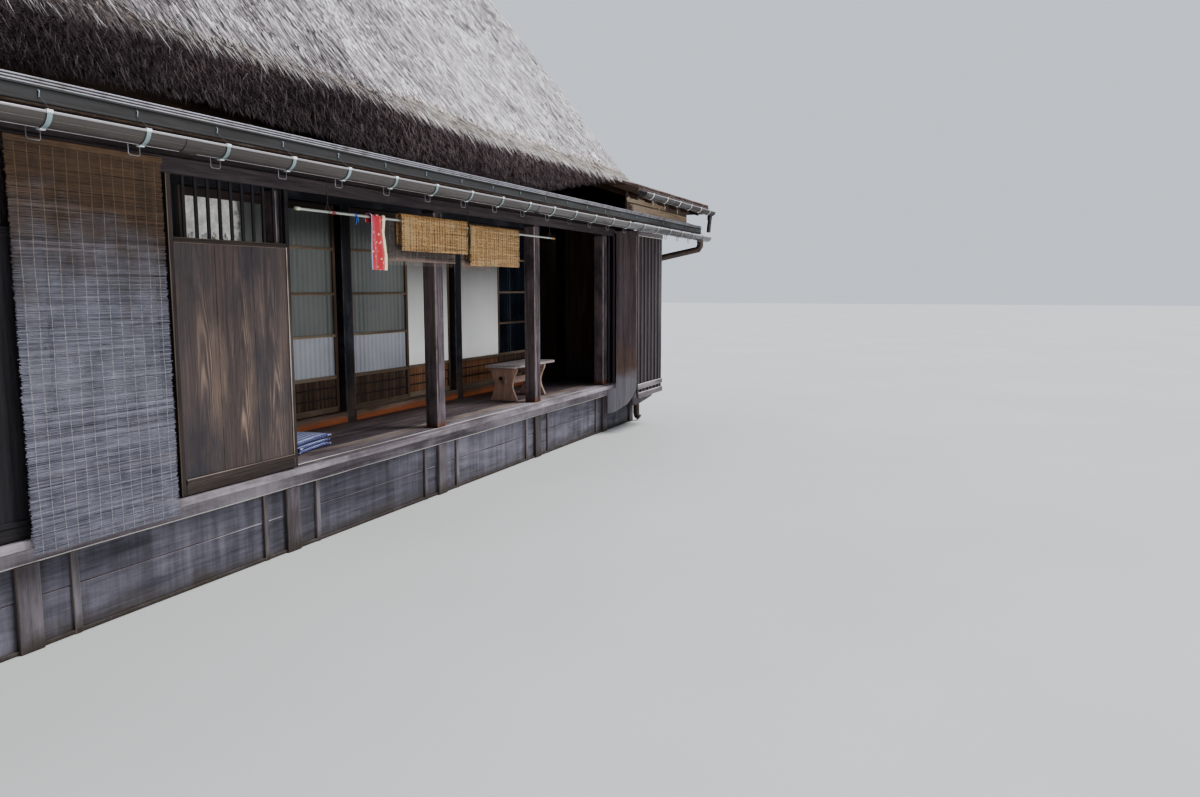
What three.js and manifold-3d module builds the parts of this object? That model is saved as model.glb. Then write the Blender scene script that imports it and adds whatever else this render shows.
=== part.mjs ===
// Thatched farmhouse: a timber-framed ground storey with a veranda, a steep thatched roof
// over an attic, and low metal-clad roofs around it. Millimetres, +Z up, +X along the front,
// the front faces -Y. The origin is on the ground below the middle of the house.

import * as THREE from 'three';
import { mergeVertices } from 'three/addons/utils/BufferGeometryUtils.js';
import Module from 'manifold-3d';

// Plan
const bay = 1820;
const halfBay = bay / 2;
const post = 120;
const gap = 0.3;
const cornerLine = 4 * bay;
const outerLine = 2.5 * bay;
const innerLine = 2 * bay;
const gableLine = 3 * bay;
const halfLength = cornerLine + post / 2;
const halfDepth = outerLine + post / 2;
const verandaBack = -innerLine - post / 2;
const postLines = [-4, -3.5, -2.5, -1.5, -0.5, 0.5, 1.5, 2.5, 3.5, 4].map((bays) => bays * bay);

// Levels
const skirtTop = 420;
const verandaTop = 560;
const floorTop = 650;
const floorThickness = 60;
const innerLintelBottom = 2400;
const innerLintelTop = 2520;
const outerLintelBottom = 2340;
const atticBeamBottom = 2960;
const atticTop = 3200;

// Walls
const wallThickness = 100;
const boardThickness = 40;
const windowSill = 1450;
const windowHead = 2350;

// Low front and back roofs
const pentSlope = 0.22;
const pentEave = halfDepth + 700;
const pentEaveTop = 2500;
const pentHalfLength = halfLength + 620;
const sheetThickness = 40;
const rafterDepth = 60;
const rafterWidth = 45;
const rafterSpacing = bay / 4;
const outerBeamTop = pentEaveTop + (pentEave - halfDepth) * pentSlope - sheetThickness - rafterDepth - gap;

// Hipped roofs over both ends
const skirtSlope = 0.325;
const skirtReach = 760;
const skirtEaveTop = 2740;
const skirtSheet = 70;
const skirtRafters = 60;
const skirtInner = gableLine - 80;

// Thatch
const thatchPitch = 1.25;
const thatchEave = halfDepth + 500;
const thatchWidth = 830;
const thatchEaveBottom = 2840;
const thatchHalfLength = gableLine + 570;
const poleDepth = 160;
const ridgeCapThickness = 150;
const ridgeCapReach = 760;
const ridgeCapHalfLength = thatchHalfLength + 100;
const saddleThickness = 130;

// Gutters
const gutterRadius = 55;
const gutterWall = 6;
const gutterRim = 2360;
const gutterLine = pentEave + 62;
const gutterHalfLength = pentHalfLength + 100;

// Sliding doors
const railReach = 90;
const railThickness = 40;
const doorThickness = 30;
const doorClearance = 5;
const runnerGap = 0.5;
const rainDoorLeft = -40;
const rainDoorWidth = 940;
const latticeHeight = 300;
const reedBlindRun = [-957, -120];
const innerDoorWidth = 870;
const trackOffset = 22;

// Shutter boxes
const boxDepth = 370;
const boxTop = 2370;
const boxBottom = 410;
const boxInnerEdge = 3.5 * bay + 70;

// Pole with the things hung on it
const poleRadius = 17;
const poleLine = -halfDepth - 350;
const poleHeight = 2170;
const poleStart = 620;
const poleEnd = 4200;
const blindThickness = 12;

const colours = {
  thatch: [0x8f8878, 0.95],
  metalRoof: [0x5b4a42, 0.75],
  galvanised: [0x8a8878, 0.6],
  darkTimber: [0x3a2c22, 0.85],
  blackTimber: [0x1b1c22, 0.8],
  greyBoards: [0x787573, 0.9],
  brownBoards: [0x4a3829, 0.88],
  veranda: [0x4d3c30, 0.6],
  doorFrame: [0x6e5540, 0.75],
  paper: [0xcdc8b9, 0.85],
  plaster: [0x2c2a28, 0.9],
  bamboo: [0xbe965a, 0.7],
  reed: [0x7a6a55, 0.9],
  towel: [0xa8443a, 0.95],
  cushion: [0x8fa0b4, 0.95],
  bench: [0x8a745c, 0.8],
};

const wasm = await Module();
wasm.setup();

function toSolid(geometry) {
  geometry.deleteAttribute('normal');
  geometry.deleteAttribute('uv');
  const merged = mergeVertices(geometry, 1e-3);
  return new wasm.Manifold(new wasm.Mesh({
    numProp: 3,
    vertProperties: new Float32Array(merged.attributes.position.array),
    triVerts: new Uint32Array(merged.index.array),
  }));
}

function toGeometry(solid) {
  const mesh = solid.getMesh();
  const geometry = new THREE.BufferGeometry();
  const positions = new Float32Array(mesh.numVert * 3);
  for (let vertex = 0; vertex < mesh.numVert; vertex += 1) {
    for (let axis = 0; axis < 3; axis += 1) {
      positions[vertex * 3 + axis] = mesh.vertProperties[vertex * mesh.numProp + axis];
    }
  }
  geometry.setAttribute('position', new THREE.BufferAttribute(positions, 3));
  geometry.setIndex(Array.from(mesh.triVerts));
  geometry.computeVertexNormals();
  return geometry;
}

const join = (solids) => solids.reduce((sum, solid) => sum.add(solid));
const cut = (solid, ...tools) => tools.reduce((rest, tool) => rest.subtract(tool), solid);

function block([x0, x1], [y0, y1], [z0, z1]) {
  const geometry = new THREE.BoxGeometry(x1 - x0, y1 - y0, z1 - z0);
  geometry.translate((x0 + x1) / 2, (y0 + y1) / 2, (z0 + z1) / 2);
  return toSolid(geometry);
}

// Extrudes an outline in the YZ plane along X.
function prismAlongX(outline, [x0, x1]) {
  const shape = new THREE.Shape(outline.map(([y, z]) => new THREE.Vector2(y, z)));
  const geometry = new THREE.ExtrudeGeometry(shape, { depth: x1 - x0, bevelEnabled: false });
  const turned = new THREE.Matrix4().makeBasis(
    new THREE.Vector3(0, 1, 0), new THREE.Vector3(0, 0, 1), new THREE.Vector3(1, 0, 0));
  geometry.applyMatrix4(turned);
  geometry.translate(x0, 0, 0);
  return toSolid(geometry);
}

// Extrudes an outline in the XZ plane along Y.
function prismAlongY(outline, [y0, y1]) {
  const shape = new THREE.Shape(outline.map(([x, z]) => new THREE.Vector2(x, z)));
  const geometry = new THREE.ExtrudeGeometry(shape, { depth: y1 - y0, bevelEnabled: false });
  const turned = new THREE.Matrix4().makeBasis(
    new THREE.Vector3(1, 0, 0), new THREE.Vector3(0, 0, 1), new THREE.Vector3(0, -1, 0));
  geometry.applyMatrix4(turned);
  geometry.translate(0, y1, 0);
  return toSolid(geometry);
}

const mirrorX = (solid) => solid.mirror([1, 0, 0]);
const mirrorY = (solid) => solid.mirror([0, 1, 0]);

const house = new THREE.Group();

function addPart(name, solid, colourName) {
  const [colour, roughness] = colours[colourName];
  const metalness = colourName === 'galvanised' ? 0.5 : 0;
  const material = new THREE.MeshStandardMaterial({ color: colour, roughness, metalness });
  const mesh = new THREE.Mesh(toGeometry(solid), material);
  mesh.name = name;
  house.add(mesh);
}

// Space under the hipped end roofs, lowered by a drop. It is a tent with four slopes.
function underSkirt(drop, margin = 0) {
  const halfX = halfLength + skirtReach;
  const halfY = halfDepth + skirtReach;
  const eave = skirtEaveTop - drop;
  const outline = (half) => {
    const edge = half + margin;
    const edgeHeight = eave - margin * skirtSlope;
    return [[-edge, 0], [edge, 0], [edge, edgeHeight], [0, edgeHeight + edge * skirtSlope], [-edge, edgeHeight]];
  };
  const endSlopes = prismAlongY(outline(halfX), [-halfY - margin, halfY + margin]);
  const frontSlopes = prismAlongX(outline(halfY), [-halfX - margin, halfX + margin]);
  return endSlopes.intersect(frontSlopes);
}

// Height of the top of the low front roof at a distance from the middle line of the house.
const pentTopAt = (distance) => pentEaveTop + (pentEave - distance) * pentSlope;

// Space under the thatch, lowered by a drop.
function underThatch(drop, halfX) {
  const foot = thatchEave - thatchWidth;
  const apex = thatchEaveBottom + foot * thatchPitch - drop;
  const floor = thatchEaveBottom - 500;
  const reach = (apex - floor) / thatchPitch;
  return prismAlongX([[-reach, floor], [reach, floor], [0, apex]], [-halfX, halfX]);
}

function sillBoards() {
  const recess = 40;
  const thickness = 60;
  const frontPosts = postLines.map((x) => block(
    [x - post / 2, x + post / 2], [-halfDepth, -halfDepth + post], [0, skirtTop]));
  const front = join([
    block([-halfLength, halfLength], [-halfDepth + recess, -halfDepth + recess + thickness], [0, skirtTop]),
    ...frontPosts,
  ]);
  addPart('skirt_front', front, 'greyBoards');
  addPart('skirt_back', mirrorY(front), 'greyBoards');
  const sideRun = [-halfDepth + post, halfDepth - post];
  const side = block([halfLength - recess - thickness, halfLength - recess], sideRun, [0, skirtTop]);
  addPart('skirt_right', side, 'greyBoards');
  addPart('skirt_left', mirrorX(side), 'greyBoards');
}

function floors() {
  const inside = halfLength - wallThickness;
  addPart('floor', block([-inside, inside], [-innerLine + post / 2, halfDepth - post],
    [floorTop - floorThickness, floorTop]), 'veranda');
  const edge = block([-halfLength, halfLength], [-halfDepth, -halfDepth + post], [skirtTop, verandaTop]);
  const deck = block([-inside, inside], [-halfDepth + post, verandaBack], [verandaTop - boardThickness, verandaTop]);
  const rail = block([-halfLength, halfLength], [-halfDepth - railReach, -halfDepth],
    [verandaTop - railThickness, verandaTop]);
  addPart('veranda', join([edge, deck, rail]), 'veranda');
}

const postAt = (x, y, levels) => block([x - post / 2, x + post / 2], [y - post / 2, y + post / 2], levels);

function frames() {
  const outerPosts = postLines.map((x) => postAt(x, -outerLine, [verandaTop, outerLintelBottom]));
  const outerBeam = block([-halfLength, halfLength], [-halfDepth, -halfDepth + post],
    [outerLintelBottom, outerBeamTop]);
  const topRail = block([-halfLength, halfLength], [-halfDepth - railReach, -halfDepth],
    [outerLintelBottom, outerLintelBottom + 60]);
  const lip = block([-halfLength, halfLength], [-halfDepth - railReach, -halfDepth - railReach + 15],
    [outerLintelBottom - 30, outerLintelBottom]);
  addPart('front_frame', join([...outerPosts, outerBeam, topRail, lip]), 'darkTimber');

  const innerPosts = postLines.map((x) => postAt(x, -innerLine, [verandaTop, innerLintelBottom]));
  const sill = block([-halfLength, halfLength], [-innerLine - post / 2, -innerLine + post / 2],
    [skirtTop, floorTop]);
  const lintel = block([-halfLength, halfLength], [-innerLine - post / 2, -innerLine + post / 2],
    [innerLintelBottom, innerLintelTop]);
  addPart('inner_frame', join([...innerPosts, sill, lintel]), 'blackTimber');

  const under = underSkirt(skirtSheet + skirtRafters + gap);
  const inside = halfLength - wallThickness;
  const wallRun = [-innerLine - post / 2, -innerLine - post / 2 + 80];
  const lower = block([-inside, inside], wallRun, [innerLintelTop, atticBeamBottom]).intersect(under);
  const upperInside = gableLine - post / 2;
  const upper = block([-upperInside, upperInside], wallRun, [atticBeamBottom, 4000])
    .intersect(underThatch(poleDepth + gap, upperInside + 1));
  addPart('inner_wall', join([lower, upper]), 'plaster');

  const rearXs = [-gableLine, -bay, bay, gableLine];
  const rearPosts = rearXs.map((x) => postAt(x, innerLine, [floorTop, innerLintelBottom]));
  const rearBeam = block([-inside, inside], [innerLine - post / 2, innerLine + post / 2],
    [innerLintelBottom, innerLintelTop]);
  const rearWall = mirrorY(join([lower, upper]));
  addPart('rear_frame', join([...rearPosts, rearBeam, rearWall]), 'blackTimber');
}

// Window set in a wall: frame bars around a thin panel, with upright bars between.
function windowIn([a0, a1], [z0, z1], [d0, d1], uprights, along) {
  const bar = 50;
  const middle = (d0 + d1) / 2;
  const placed = (run, depth, levels) => (along === 'x' ? block(run, depth, levels) : block(depth, run, levels));
  const pieces = [
    placed([a0, a1], [middle - 5, middle + 5], [z0, z1]),
    placed([a0, a1], [d0, d1], [z0, z0 + bar]),
    placed([a0, a1], [d0, d1], [z1 - bar, z1]),
    placed([a0, a0 + bar], [d0, d1], [z0, z1]),
    placed([a1 - bar, a1], [d0, d1], [z0, z1]),
  ];
  for (let index = 1; index <= uprights; index += 1) {
    const centre = a0 + ((a1 - a0) * index) / (uprights + 1);
    pieces.push(placed([centre - bar / 2, centre + bar / 2], [middle - 20, middle + 20], [z0, z1]));
  }
  return join(pieces);
}

function walls() {
  const under = underSkirt(skirtSheet + skirtRafters + gap);
  const inner = halfLength - wallThickness;
  const endRun = [-innerLine + post / 2, halfDepth - post];
  const verandaRun = [-halfDepth + post, -innerLine - post / 2];
  const windowRuns = [[-bay + 60, -60], [60, bay - 60]];
  const windowLevels = [windowSill, windowHead];
  const wallX = [inner, halfLength];
  const body = join([
    block(wallX, endRun, [skirtTop, 3100]),
    block(wallX, verandaRun, [skirtTop, 3100]),
    block(wallX, [-halfDepth, halfDepth], [outerBeamTop, 3100]),
  ]);
  const holes = windowRuns.map((run) => block([inner - 10, halfLength + 10], run, windowLevels));
  const endWall = cut(body.intersect(under), ...holes);
  addPart('end_wall_right', endWall, 'brownBoards');
  addPart('end_wall_left', mirrorX(endWall), 'brownBoards');

  const shrink = ([a, b]) => [a + gap, b - gap];
  const windows = windowRuns.map((run) => windowIn(shrink(run), shrink(windowLevels),
    [inner + 20, halfLength - 10], 1, 'y'));
  const sillBoard = block([halfLength + gap, halfLength + 60], [-bay, bay], [windowSill, windowSill + 40]);
  const bridges = windowRuns.map((run) => block([halfLength - 20, halfLength + 40], shrink(run),
    [windowSill + gap, windowSill + 40]));
  const sideWindows = join([...windows, sillBoard, ...bridges]);
  addPart('side_windows_right', sideWindows, 'doorFrame');
  addPart('side_windows_left', mirrorX(sideWindows), 'doorFrame');

  const jamb = post / 2 + 20;
  const backLevels = [windowSill, outerLintelBottom - 50];
  const backRuns = [-4, 0, 4].map((step) => [step * halfBay - halfBay + jamb, step * halfBay + halfBay - jamb]);
  const plate = block([-inner, inner], [halfDepth - wallThickness, halfDepth - 20], [verandaTop, outerLintelBottom]);
  const backPosts = postLines.map((x) => postAt(x, outerLine, [verandaTop, outerLintelBottom]));
  const backSillBeam = block([-halfLength, halfLength], [halfDepth - post, halfDepth], [skirtTop, verandaTop]);
  const backBeam = block([-halfLength, halfLength], [halfDepth - post, halfDepth],
    [outerLintelBottom, outerBeamTop]);
  const backHoles = backRuns.map((run) => block(run, [halfDepth - 200, halfDepth + 10], backLevels));
  addPart('back_wall', cut(join([plate, backSillBeam, ...backPosts, backBeam]), ...backHoles), 'brownBoards');
  const backWindows = backRuns.map((run) => windowIn(shrink(run), shrink(backLevels),
    [halfDepth - wallThickness + 10, halfDepth - 30], 1, 'x'));
  const backSill = block([-5 * halfBay, 5 * halfBay], [halfDepth + gap, halfDepth + 60],
    [windowSill, windowSill + 40]);
  const backBridges = backRuns.map((run) => block(shrink(run), [halfDepth - 40, halfDepth + 40],
    [windowSill + gap, windowSill + 40]));
  addPart('back_windows', join([...backWindows, backSill, ...backBridges]), 'doorFrame');
}

function attic() {
  const halfX = gableLine + post / 2;
  const halfY = innerLine - post / 2;
  const slab = block([-halfX, halfX], [-halfY, halfY], [atticTop - boardThickness, atticTop]);
  const beamXs = [-gableLine, -2 * bay, -bay, 0, bay, 2 * bay, gableLine];
  const beams = beamXs.map((x) => block([x - post / 2, x + post / 2], [-halfY, halfY],
    [atticBeamBottom, atticTop - boardThickness]));
  addPart('attic_floor', join([slab, ...beams]), 'darkTimber');

  const inside = gableLine - post / 2 - gap;
  const band = cut(underThatch(gap, inside), underThatch(poleDepth, inside + 1));
  const strips = [];
  for (let index = -3; index <= 3; index += 1) {
    const x = index * bay * 0.96;
    strips.push(block([x - 45, x + 45], [-halfDepth, halfDepth], [atticBeamBottom, 9000]));
  }
  const ties = [[3300, 3640], [5600, 5750], [7850, 9000]];
  ties.forEach((levels) => strips.push(block([-inside, inside], [-halfDepth, halfDepth], levels)));
  const frontHalf = block([-inside, inside], [-halfDepth, -gap], [0, 9000]);
  const poles = band.intersect(join(strips)).intersect(frontHalf);
  addPart('roof_poles_front', poles, 'darkTimber');
  addPart('roof_poles_back', mirrorY(poles), 'darkTimber');
}

function gables() {
  const wallX = [gableLine - post / 2, gableLine + post / 2];
  const wideRun = [-900, 900];
  const wideLevels = [3980, 4980];
  const smallRuns = [[-780, -140], [140, 780]];
  const smallLevels = [5950, 6550];
  const body = block(wallX, [-innerLine, innerLine], [atticTop, 9000])
    .intersect(underThatch(gap, gableLine + post));
  const throughX = [wallX[0] - 10, wallX[1] + 10];
  const holes = [block(throughX, wideRun, wideLevels),
    ...smallRuns.map((run) => block(throughX, run, smallLevels)),
    block(throughX, [-220, 220], [7300, 7560])];
  const wall = cut(body, ...holes);
  addPart('gable_wall_right', wall, 'brownBoards');
  addPart('gable_wall_left', mirrorX(wall), 'brownBoards');

  const shrink = ([a, b]) => [a + gap, b - gap];
  const depth = [wallX[0] + 20, wallX[1] - 10];
  const face = wallX[1] + gap;
  const wide = windowIn(shrink(wideRun), shrink(wideLevels), depth, 3, 'y');
  const awning = prismAlongY([[face, wideLevels[1] + 180], [face, wideLevels[1] + 150],
    [face + 480, wideLevels[1] - 10], [face + 480, wideLevels[1] + 20]], [-1050, 1050]);
  const head = block([wallX[1] - 30, face + 60], shrink(wideRun), [wideLevels[1] - 50, wideLevels[1] - gap]);
  const brackets = [-1000, 940].map((y) => prismAlongY([[face, wideLevels[1] + 170],
    [face, wideLevels[1] - 200], [face + 60, wideLevels[1] - 200], [face + 440, wideLevels[1] + 10]], [y, y + 60]));
  const rail = block([face, face + 50], [-1060, 1060], [wideLevels[1] - 50, wideLevels[1] - 5]);
  addPart('gable_window_right', join([wide, awning, head, rail, ...brackets]), 'doorFrame');
  addPart('gable_window_left', mirrorX(join([wide, awning, head, rail, ...brackets])), 'doorFrame');

  const small = smallRuns.map((run) => windowIn(shrink(run), shrink(smallLevels), depth, 1, 'y'));
  const ledge = block([face, face + 60], [-840, 840], [smallLevels[0], smallLevels[0] + 45]);
  const tongues = smallRuns.map((run) => block([wallX[1] - 30, face + 30], shrink(run),
    [smallLevels[0] + gap, smallLevels[0] + 45]));
  addPart('gable_vents_right', join([...small, ledge, ...tongues]), 'doorFrame');
  addPart('gable_vents_left', mirrorX(join([...small, ledge, ...tongues])), 'doorFrame');
}

function verges() {
  const board = [gableLine + 380, gableLine + 440];
  const band = cut(underThatch(gap, thatchHalfLength + 200), underThatch(260, thatchHalfLength + 201));
  const aboveSkirt = block([0, 9000], [-halfDepth, halfDepth], [3560, 9000]);
  const barge = band.intersect(block(board, [-halfDepth, halfDepth], [3560, 9000]));
  const stubLevels = [[4200, 4330], [5400, 5530], [6600, 6730], [7790, 8100]];
  const stubs = stubLevels.map((levels) => cut(underThatch(gap, thatchHalfLength + 120),
    underThatch(170, thatchHalfLength + 121))
    .intersect(block([gableLine + post / 2, thatchHalfLength + 100], [-halfDepth, halfDepth], levels)));
  const verge = join([barge, ...stubs]).intersect(aboveSkirt);
  addPart('verge_timbers_right', verge, 'darkTimber');
  addPart('verge_timbers_left', mirrorX(verge), 'darkTimber');
}

function thatch() {
  const outerApex = thatchEaveBottom + thatchEave * thatchPitch;
  const innerApex = outerApex - thatchWidth * thatchPitch;
  const front = prismAlongX([[-thatchEave, thatchEaveBottom], [-thatchEave + thatchWidth, thatchEaveBottom],
    [-gap / 2, innerApex - (gap / 2) * thatchPitch], [-gap / 2, outerApex - (gap / 2) * thatchPitch]],
  [-thatchHalfLength, thatchHalfLength]);
  const clearOfSkirt = underSkirt(-gap).intersect(join([
    block([skirtInner - 1, 9000], [-9000, 9000], [0, 9000]),
    block([-9000, -skirtInner + 1], [-9000, 9000], [0, 9000])]));
  const slope = front.subtract(clearOfSkirt);
  addPart('thatch_front', slope, 'thatch');
  addPart('thatch_back', mirrorY(slope), 'thatch');

  const capFoot = outerApex - ridgeCapReach * thatchPitch;
  const capRise = ridgeCapThickness * Math.hypot(1, thatchPitch);
  const flat = 180;
  const flatTop = outerApex + capRise - flat * thatchPitch;
  const cap = prismAlongX([[0, outerApex + gap], [-ridgeCapReach, capFoot + gap],
    [-ridgeCapReach - 60, capFoot + 60], [-flat, flatTop], [flat, flatTop],
    [ridgeCapReach + 60, capFoot + 60], [ridgeCapReach, capFoot + gap]],
  [-ridgeCapHalfLength, ridgeCapHalfLength]);
  addPart('ridge_cap', cap, 'thatch');

  const seat = flatTop + gap;
  const logHeight = 150;
  const log = block([-ridgeCapHalfLength - 150, ridgeCapHalfLength + 150], [-75, 75], [seat, seat + logHeight]);
  const saddles = [];
  const footHeight = capFoot + 60 + 40;
  for (let index = -3; index <= 3; index += 1) {
    const x = index * 1850;
    const leg = (side) => prismAlongX([[side * flat * 0.2, seat], [side * (flat + 6), seat],
      [side * (ridgeCapReach + 70), footHeight], [side * (ridgeCapReach + 150), footHeight + saddleThickness * 0.5],
      [side * flat * 0.9, seat + saddleThickness * 1.6], [side * flat * 0.2, seat + saddleThickness * 1.6]],
    [x - 70, x + 70]);
    saddles.push(leg(1), leg(-1));
  }
  addPart('ridge_saddles', join([log, ...saddles]), 'darkTimber');
}

function pentRoof() {
  const sheetAcross = ([y0, y1], [x0, x1]) => prismAlongX([
    [-y0, pentTopAt(y0)], [-y0, pentTopAt(y0) - sheetThickness],
    [-y1, pentTopAt(y1) - sheetThickness], [-y1, pentTopAt(y1)]], [x0, x1]);
  const inside = halfLength - wallThickness - gap;
  const wallFace = innerLine + post / 2 + gap;
  const front = sheetAcross([pentEave, halfDepth + gap], [-pentHalfLength, pentHalfLength]);
  const back = sheetAcross([halfDepth + gap, wallFace], [-inside, inside]);
  const rafters = [];
  for (let x = -17 * rafterSpacing; x <= 17 * rafterSpacing; x += rafterSpacing) {
    const run = Math.abs(x) < inside ? wallFace : halfDepth + gap;
    rafters.push(prismAlongX([
      [-pentEave + 30, pentTopAt(pentEave - 30) - sheetThickness],
      [-pentEave + 30, pentTopAt(pentEave - 30) - sheetThickness - rafterDepth],
      [-run, pentTopAt(run) - sheetThickness - rafterDepth],
      [-run, pentTopAt(run) - sheetThickness]], [x - rafterWidth / 2, x + rafterWidth / 2]));
  }
  const fascia = block([-pentHalfLength, pentHalfLength], [-pentEave, -pentEave + 25],
    [pentEaveTop - 100, pentEaveTop - 10]);
  return join([front, back, fascia, ...rafters]);
}

function skirtRoof() {
  const halfX = halfLength + skirtReach;
  const halfY = halfDepth + skirtReach;
  const side = block([skirtInner, halfX + 10], [-halfY - 10, halfY + 10], [0, 9000]);
  const gableClear = block([0, gableLine + post / 2 + gap], [-innerLine - post / 2 - gap, innerLine + post / 2 + gap],
    [0, 9000]);
  const sheet = cut(underSkirt(0), underSkirt(skirtSheet, 200)).intersect(side);
  const band = cut(underSkirt(skirtSheet), underSkirt(skirtSheet + skirtRafters, 200)).intersect(side);
  const hipPlan = [[halfX, -halfY], [halfX, halfY], [halfX - halfY, 0]];
  const hipShape = new THREE.Shape(hipPlan.map(([x, y]) => new THREE.Vector2(x, y)));
  const sideRegion = toSolid(new THREE.ExtrudeGeometry(hipShape, { depth: 9000, bevelEnabled: false }));
  const sideStrips = [];
  for (let y = -11 * rafterSpacing; y <= 11 * rafterSpacing; y += rafterSpacing) {
    sideStrips.push(block([skirtInner, halfX - 30], [y - rafterWidth / 2, y + rafterWidth / 2], [0, 9000]));
  }
  const frontStrips = [];
  for (let x = 12 * rafterSpacing; x <= 17 * rafterSpacing; x += rafterSpacing) {
    frontStrips.push(block([x - rafterWidth / 2, x + rafterWidth / 2], [-halfY + 30, halfY - 30], [0, 9000]));
  }
  const rafters = join([band.intersect(join(sideStrips)).intersect(sideRegion),
    cut(band.intersect(join(frontStrips)), sideRegion)]);
  return cut(join([sheet, rafters]), gableClear);
}

function apronBoards(pentShape) {
  const boards = block([skirtInner + 10, halfLength + 190], [-pentEave + 60, -pentEave + 85], [2480, 2800]);
  const body = cut(boards, pentShape.translate([0, 0, gap]), pentShape.translate([0, 0, -sheetThickness]))
    .intersect(underSkirt(skirtSheet - 10));
  return body;
}

function lowRoofs() {
  const pent = pentRoof();
  const pentBack = mirrorY(pent);
  addPart('pent_roof_front', pent, 'metalRoof');
  addPart('pent_roof_back', pentBack, 'metalRoof');
  const apron = apronBoards(pent);
  const skirt = join([skirtRoof(), apron, mirrorY(apron)]);
  addPart('skirt_roof_right', skirt, 'metalRoof');
  addPart('skirt_roof_left', mirrorX(skirt), 'metalRoof');
}

// Half-round trough, open at the top, with closed ends.
function gutterTrough(radius, rim, y, [x0, x1]) {
  const half = (r) => {
    const points = [];
    for (let step = 0; step <= 6; step += 1) {
      const angle = Math.PI + (Math.PI * step) / 6;
      points.push([y + r * Math.cos(angle), rim + r * Math.sin(angle)]);
    }
    return points;
  };
  const outer = prismAlongX(half(radius), [x0, x1]);
  const hollow = half(radius - gutterWall);
  hollow.push([y + radius - gutterWall, rim + 5], [y - radius + gutterWall, rim + 5]);
  return cut(outer, prismAlongX(hollow, [x0 + gutterWall, x1 - gutterWall]));
}

function gutters() {
  const trough = gutterTrough(gutterRadius, gutterRim, -gutterLine, [-gutterHalfLength, gutterHalfLength]);
  const hooks = [];
  for (let x = -16 * rafterSpacing; x <= 16 * rafterSpacing; x += 2 * rafterSpacing) {
    const run = [x - 10, x + 10];
    hooks.push(block(run, [-pentEave - 5, -pentEave], [gutterRim - 1, gutterRim + 100]));
    hooks.push(block(run, [-gutterLine - gutterRadius, -pentEave], [gutterRim - 1, gutterRim + 4]));
  }
  const gutter = join([trough, ...hooks]);
  addPart('gutter_front', gutter, 'galvanised');
  addPart('gutter_back', mirrorY(gutter), 'galvanised');

  const upperLine = halfDepth + skirtReach + 45;
  const upperRim = skirtEaveTop - skirtSheet - 15;
  const upperEnd = halfLength + skirtReach;
  const upperTrough = gutterTrough(38, upperRim, -upperLine, [skirtInner, upperEnd]);
  const upperHooks = [];
  for (let x = 13 * rafterSpacing; x <= 17 * rafterSpacing; x += rafterSpacing) {
    upperHooks.push(block([x - 8, x + 8], [-upperLine - 38, -halfDepth - skirtReach], [upperRim - 1, upperRim + 4]));
    upperHooks.push(block([x - 8, x + 8], [-upperLine + 38, -halfDepth - skirtReach], [upperRim - 1, upperRim + 60]));
  }
  const shortPipe = new THREE.CylinderGeometry(22, 22, 200, 12);
  shortPipe.rotateX(Math.PI / 2);
  shortPipe.translate(upperEnd - 90, -upperLine, upperRim - 36 - 98);
  const upper = join([upperTrough, ...upperHooks, toSolid(shortPipe)]);
  addPart('upper_gutter_right', upper, 'galvanised');
  addPart('upper_gutter_left', mirrorX(upper), 'galvanised');

  const pipeRadius = 30;
  const route = new THREE.CurvePath();
  const points = [
    new THREE.Vector3(halfLength + 390, -gutterLine, gutterRim - gutterRadius - gap),
    new THREE.Vector3(halfLength + 390, -gutterLine, gutterRim - gutterRadius - 70),
    new THREE.Vector3(halfLength + 60, -halfDepth - 30, 2050),
    new THREE.Vector3(halfLength + 60, -halfDepth - 30, 0),
  ];
  for (let index = 0; index < points.length - 1; index += 1) {
    route.add(new THREE.LineCurve3(points[index], points[index + 1]));
  }
  const tubes = route.curves.map((line) => {
    const length = line.getLength();
    const tube = new THREE.CylinderGeometry(pipeRadius, pipeRadius, length, 12);
    tube.translate(0, length / 2, 0);
    const direction = line.v2.clone().sub(line.v1).normalize();
    tube.applyQuaternion(new THREE.Quaternion().setFromUnitVectors(new THREE.Vector3(0, 1, 0), direction));
    tube.translate(line.v1.x, line.v1.y, line.v1.z);
    return toSolid(tube);
  });
  const joints = points.slice(1, 3).map((corner) => {
    const ball = new THREE.IcosahedronGeometry(pipeRadius + 1, 1);
    ball.translate(corner.x, corner.y, corner.z);
    return toSolid(ball);
  });
  const clips = [700, 1500].map((z) => block([halfLength + gap, halfLength + 60],
    [-halfDepth - 40, -halfDepth + 60], [z, z + 30]));
  addPart('downpipe', join([...tubes, ...joints, ...clips]), 'metalRoof');
}

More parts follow.
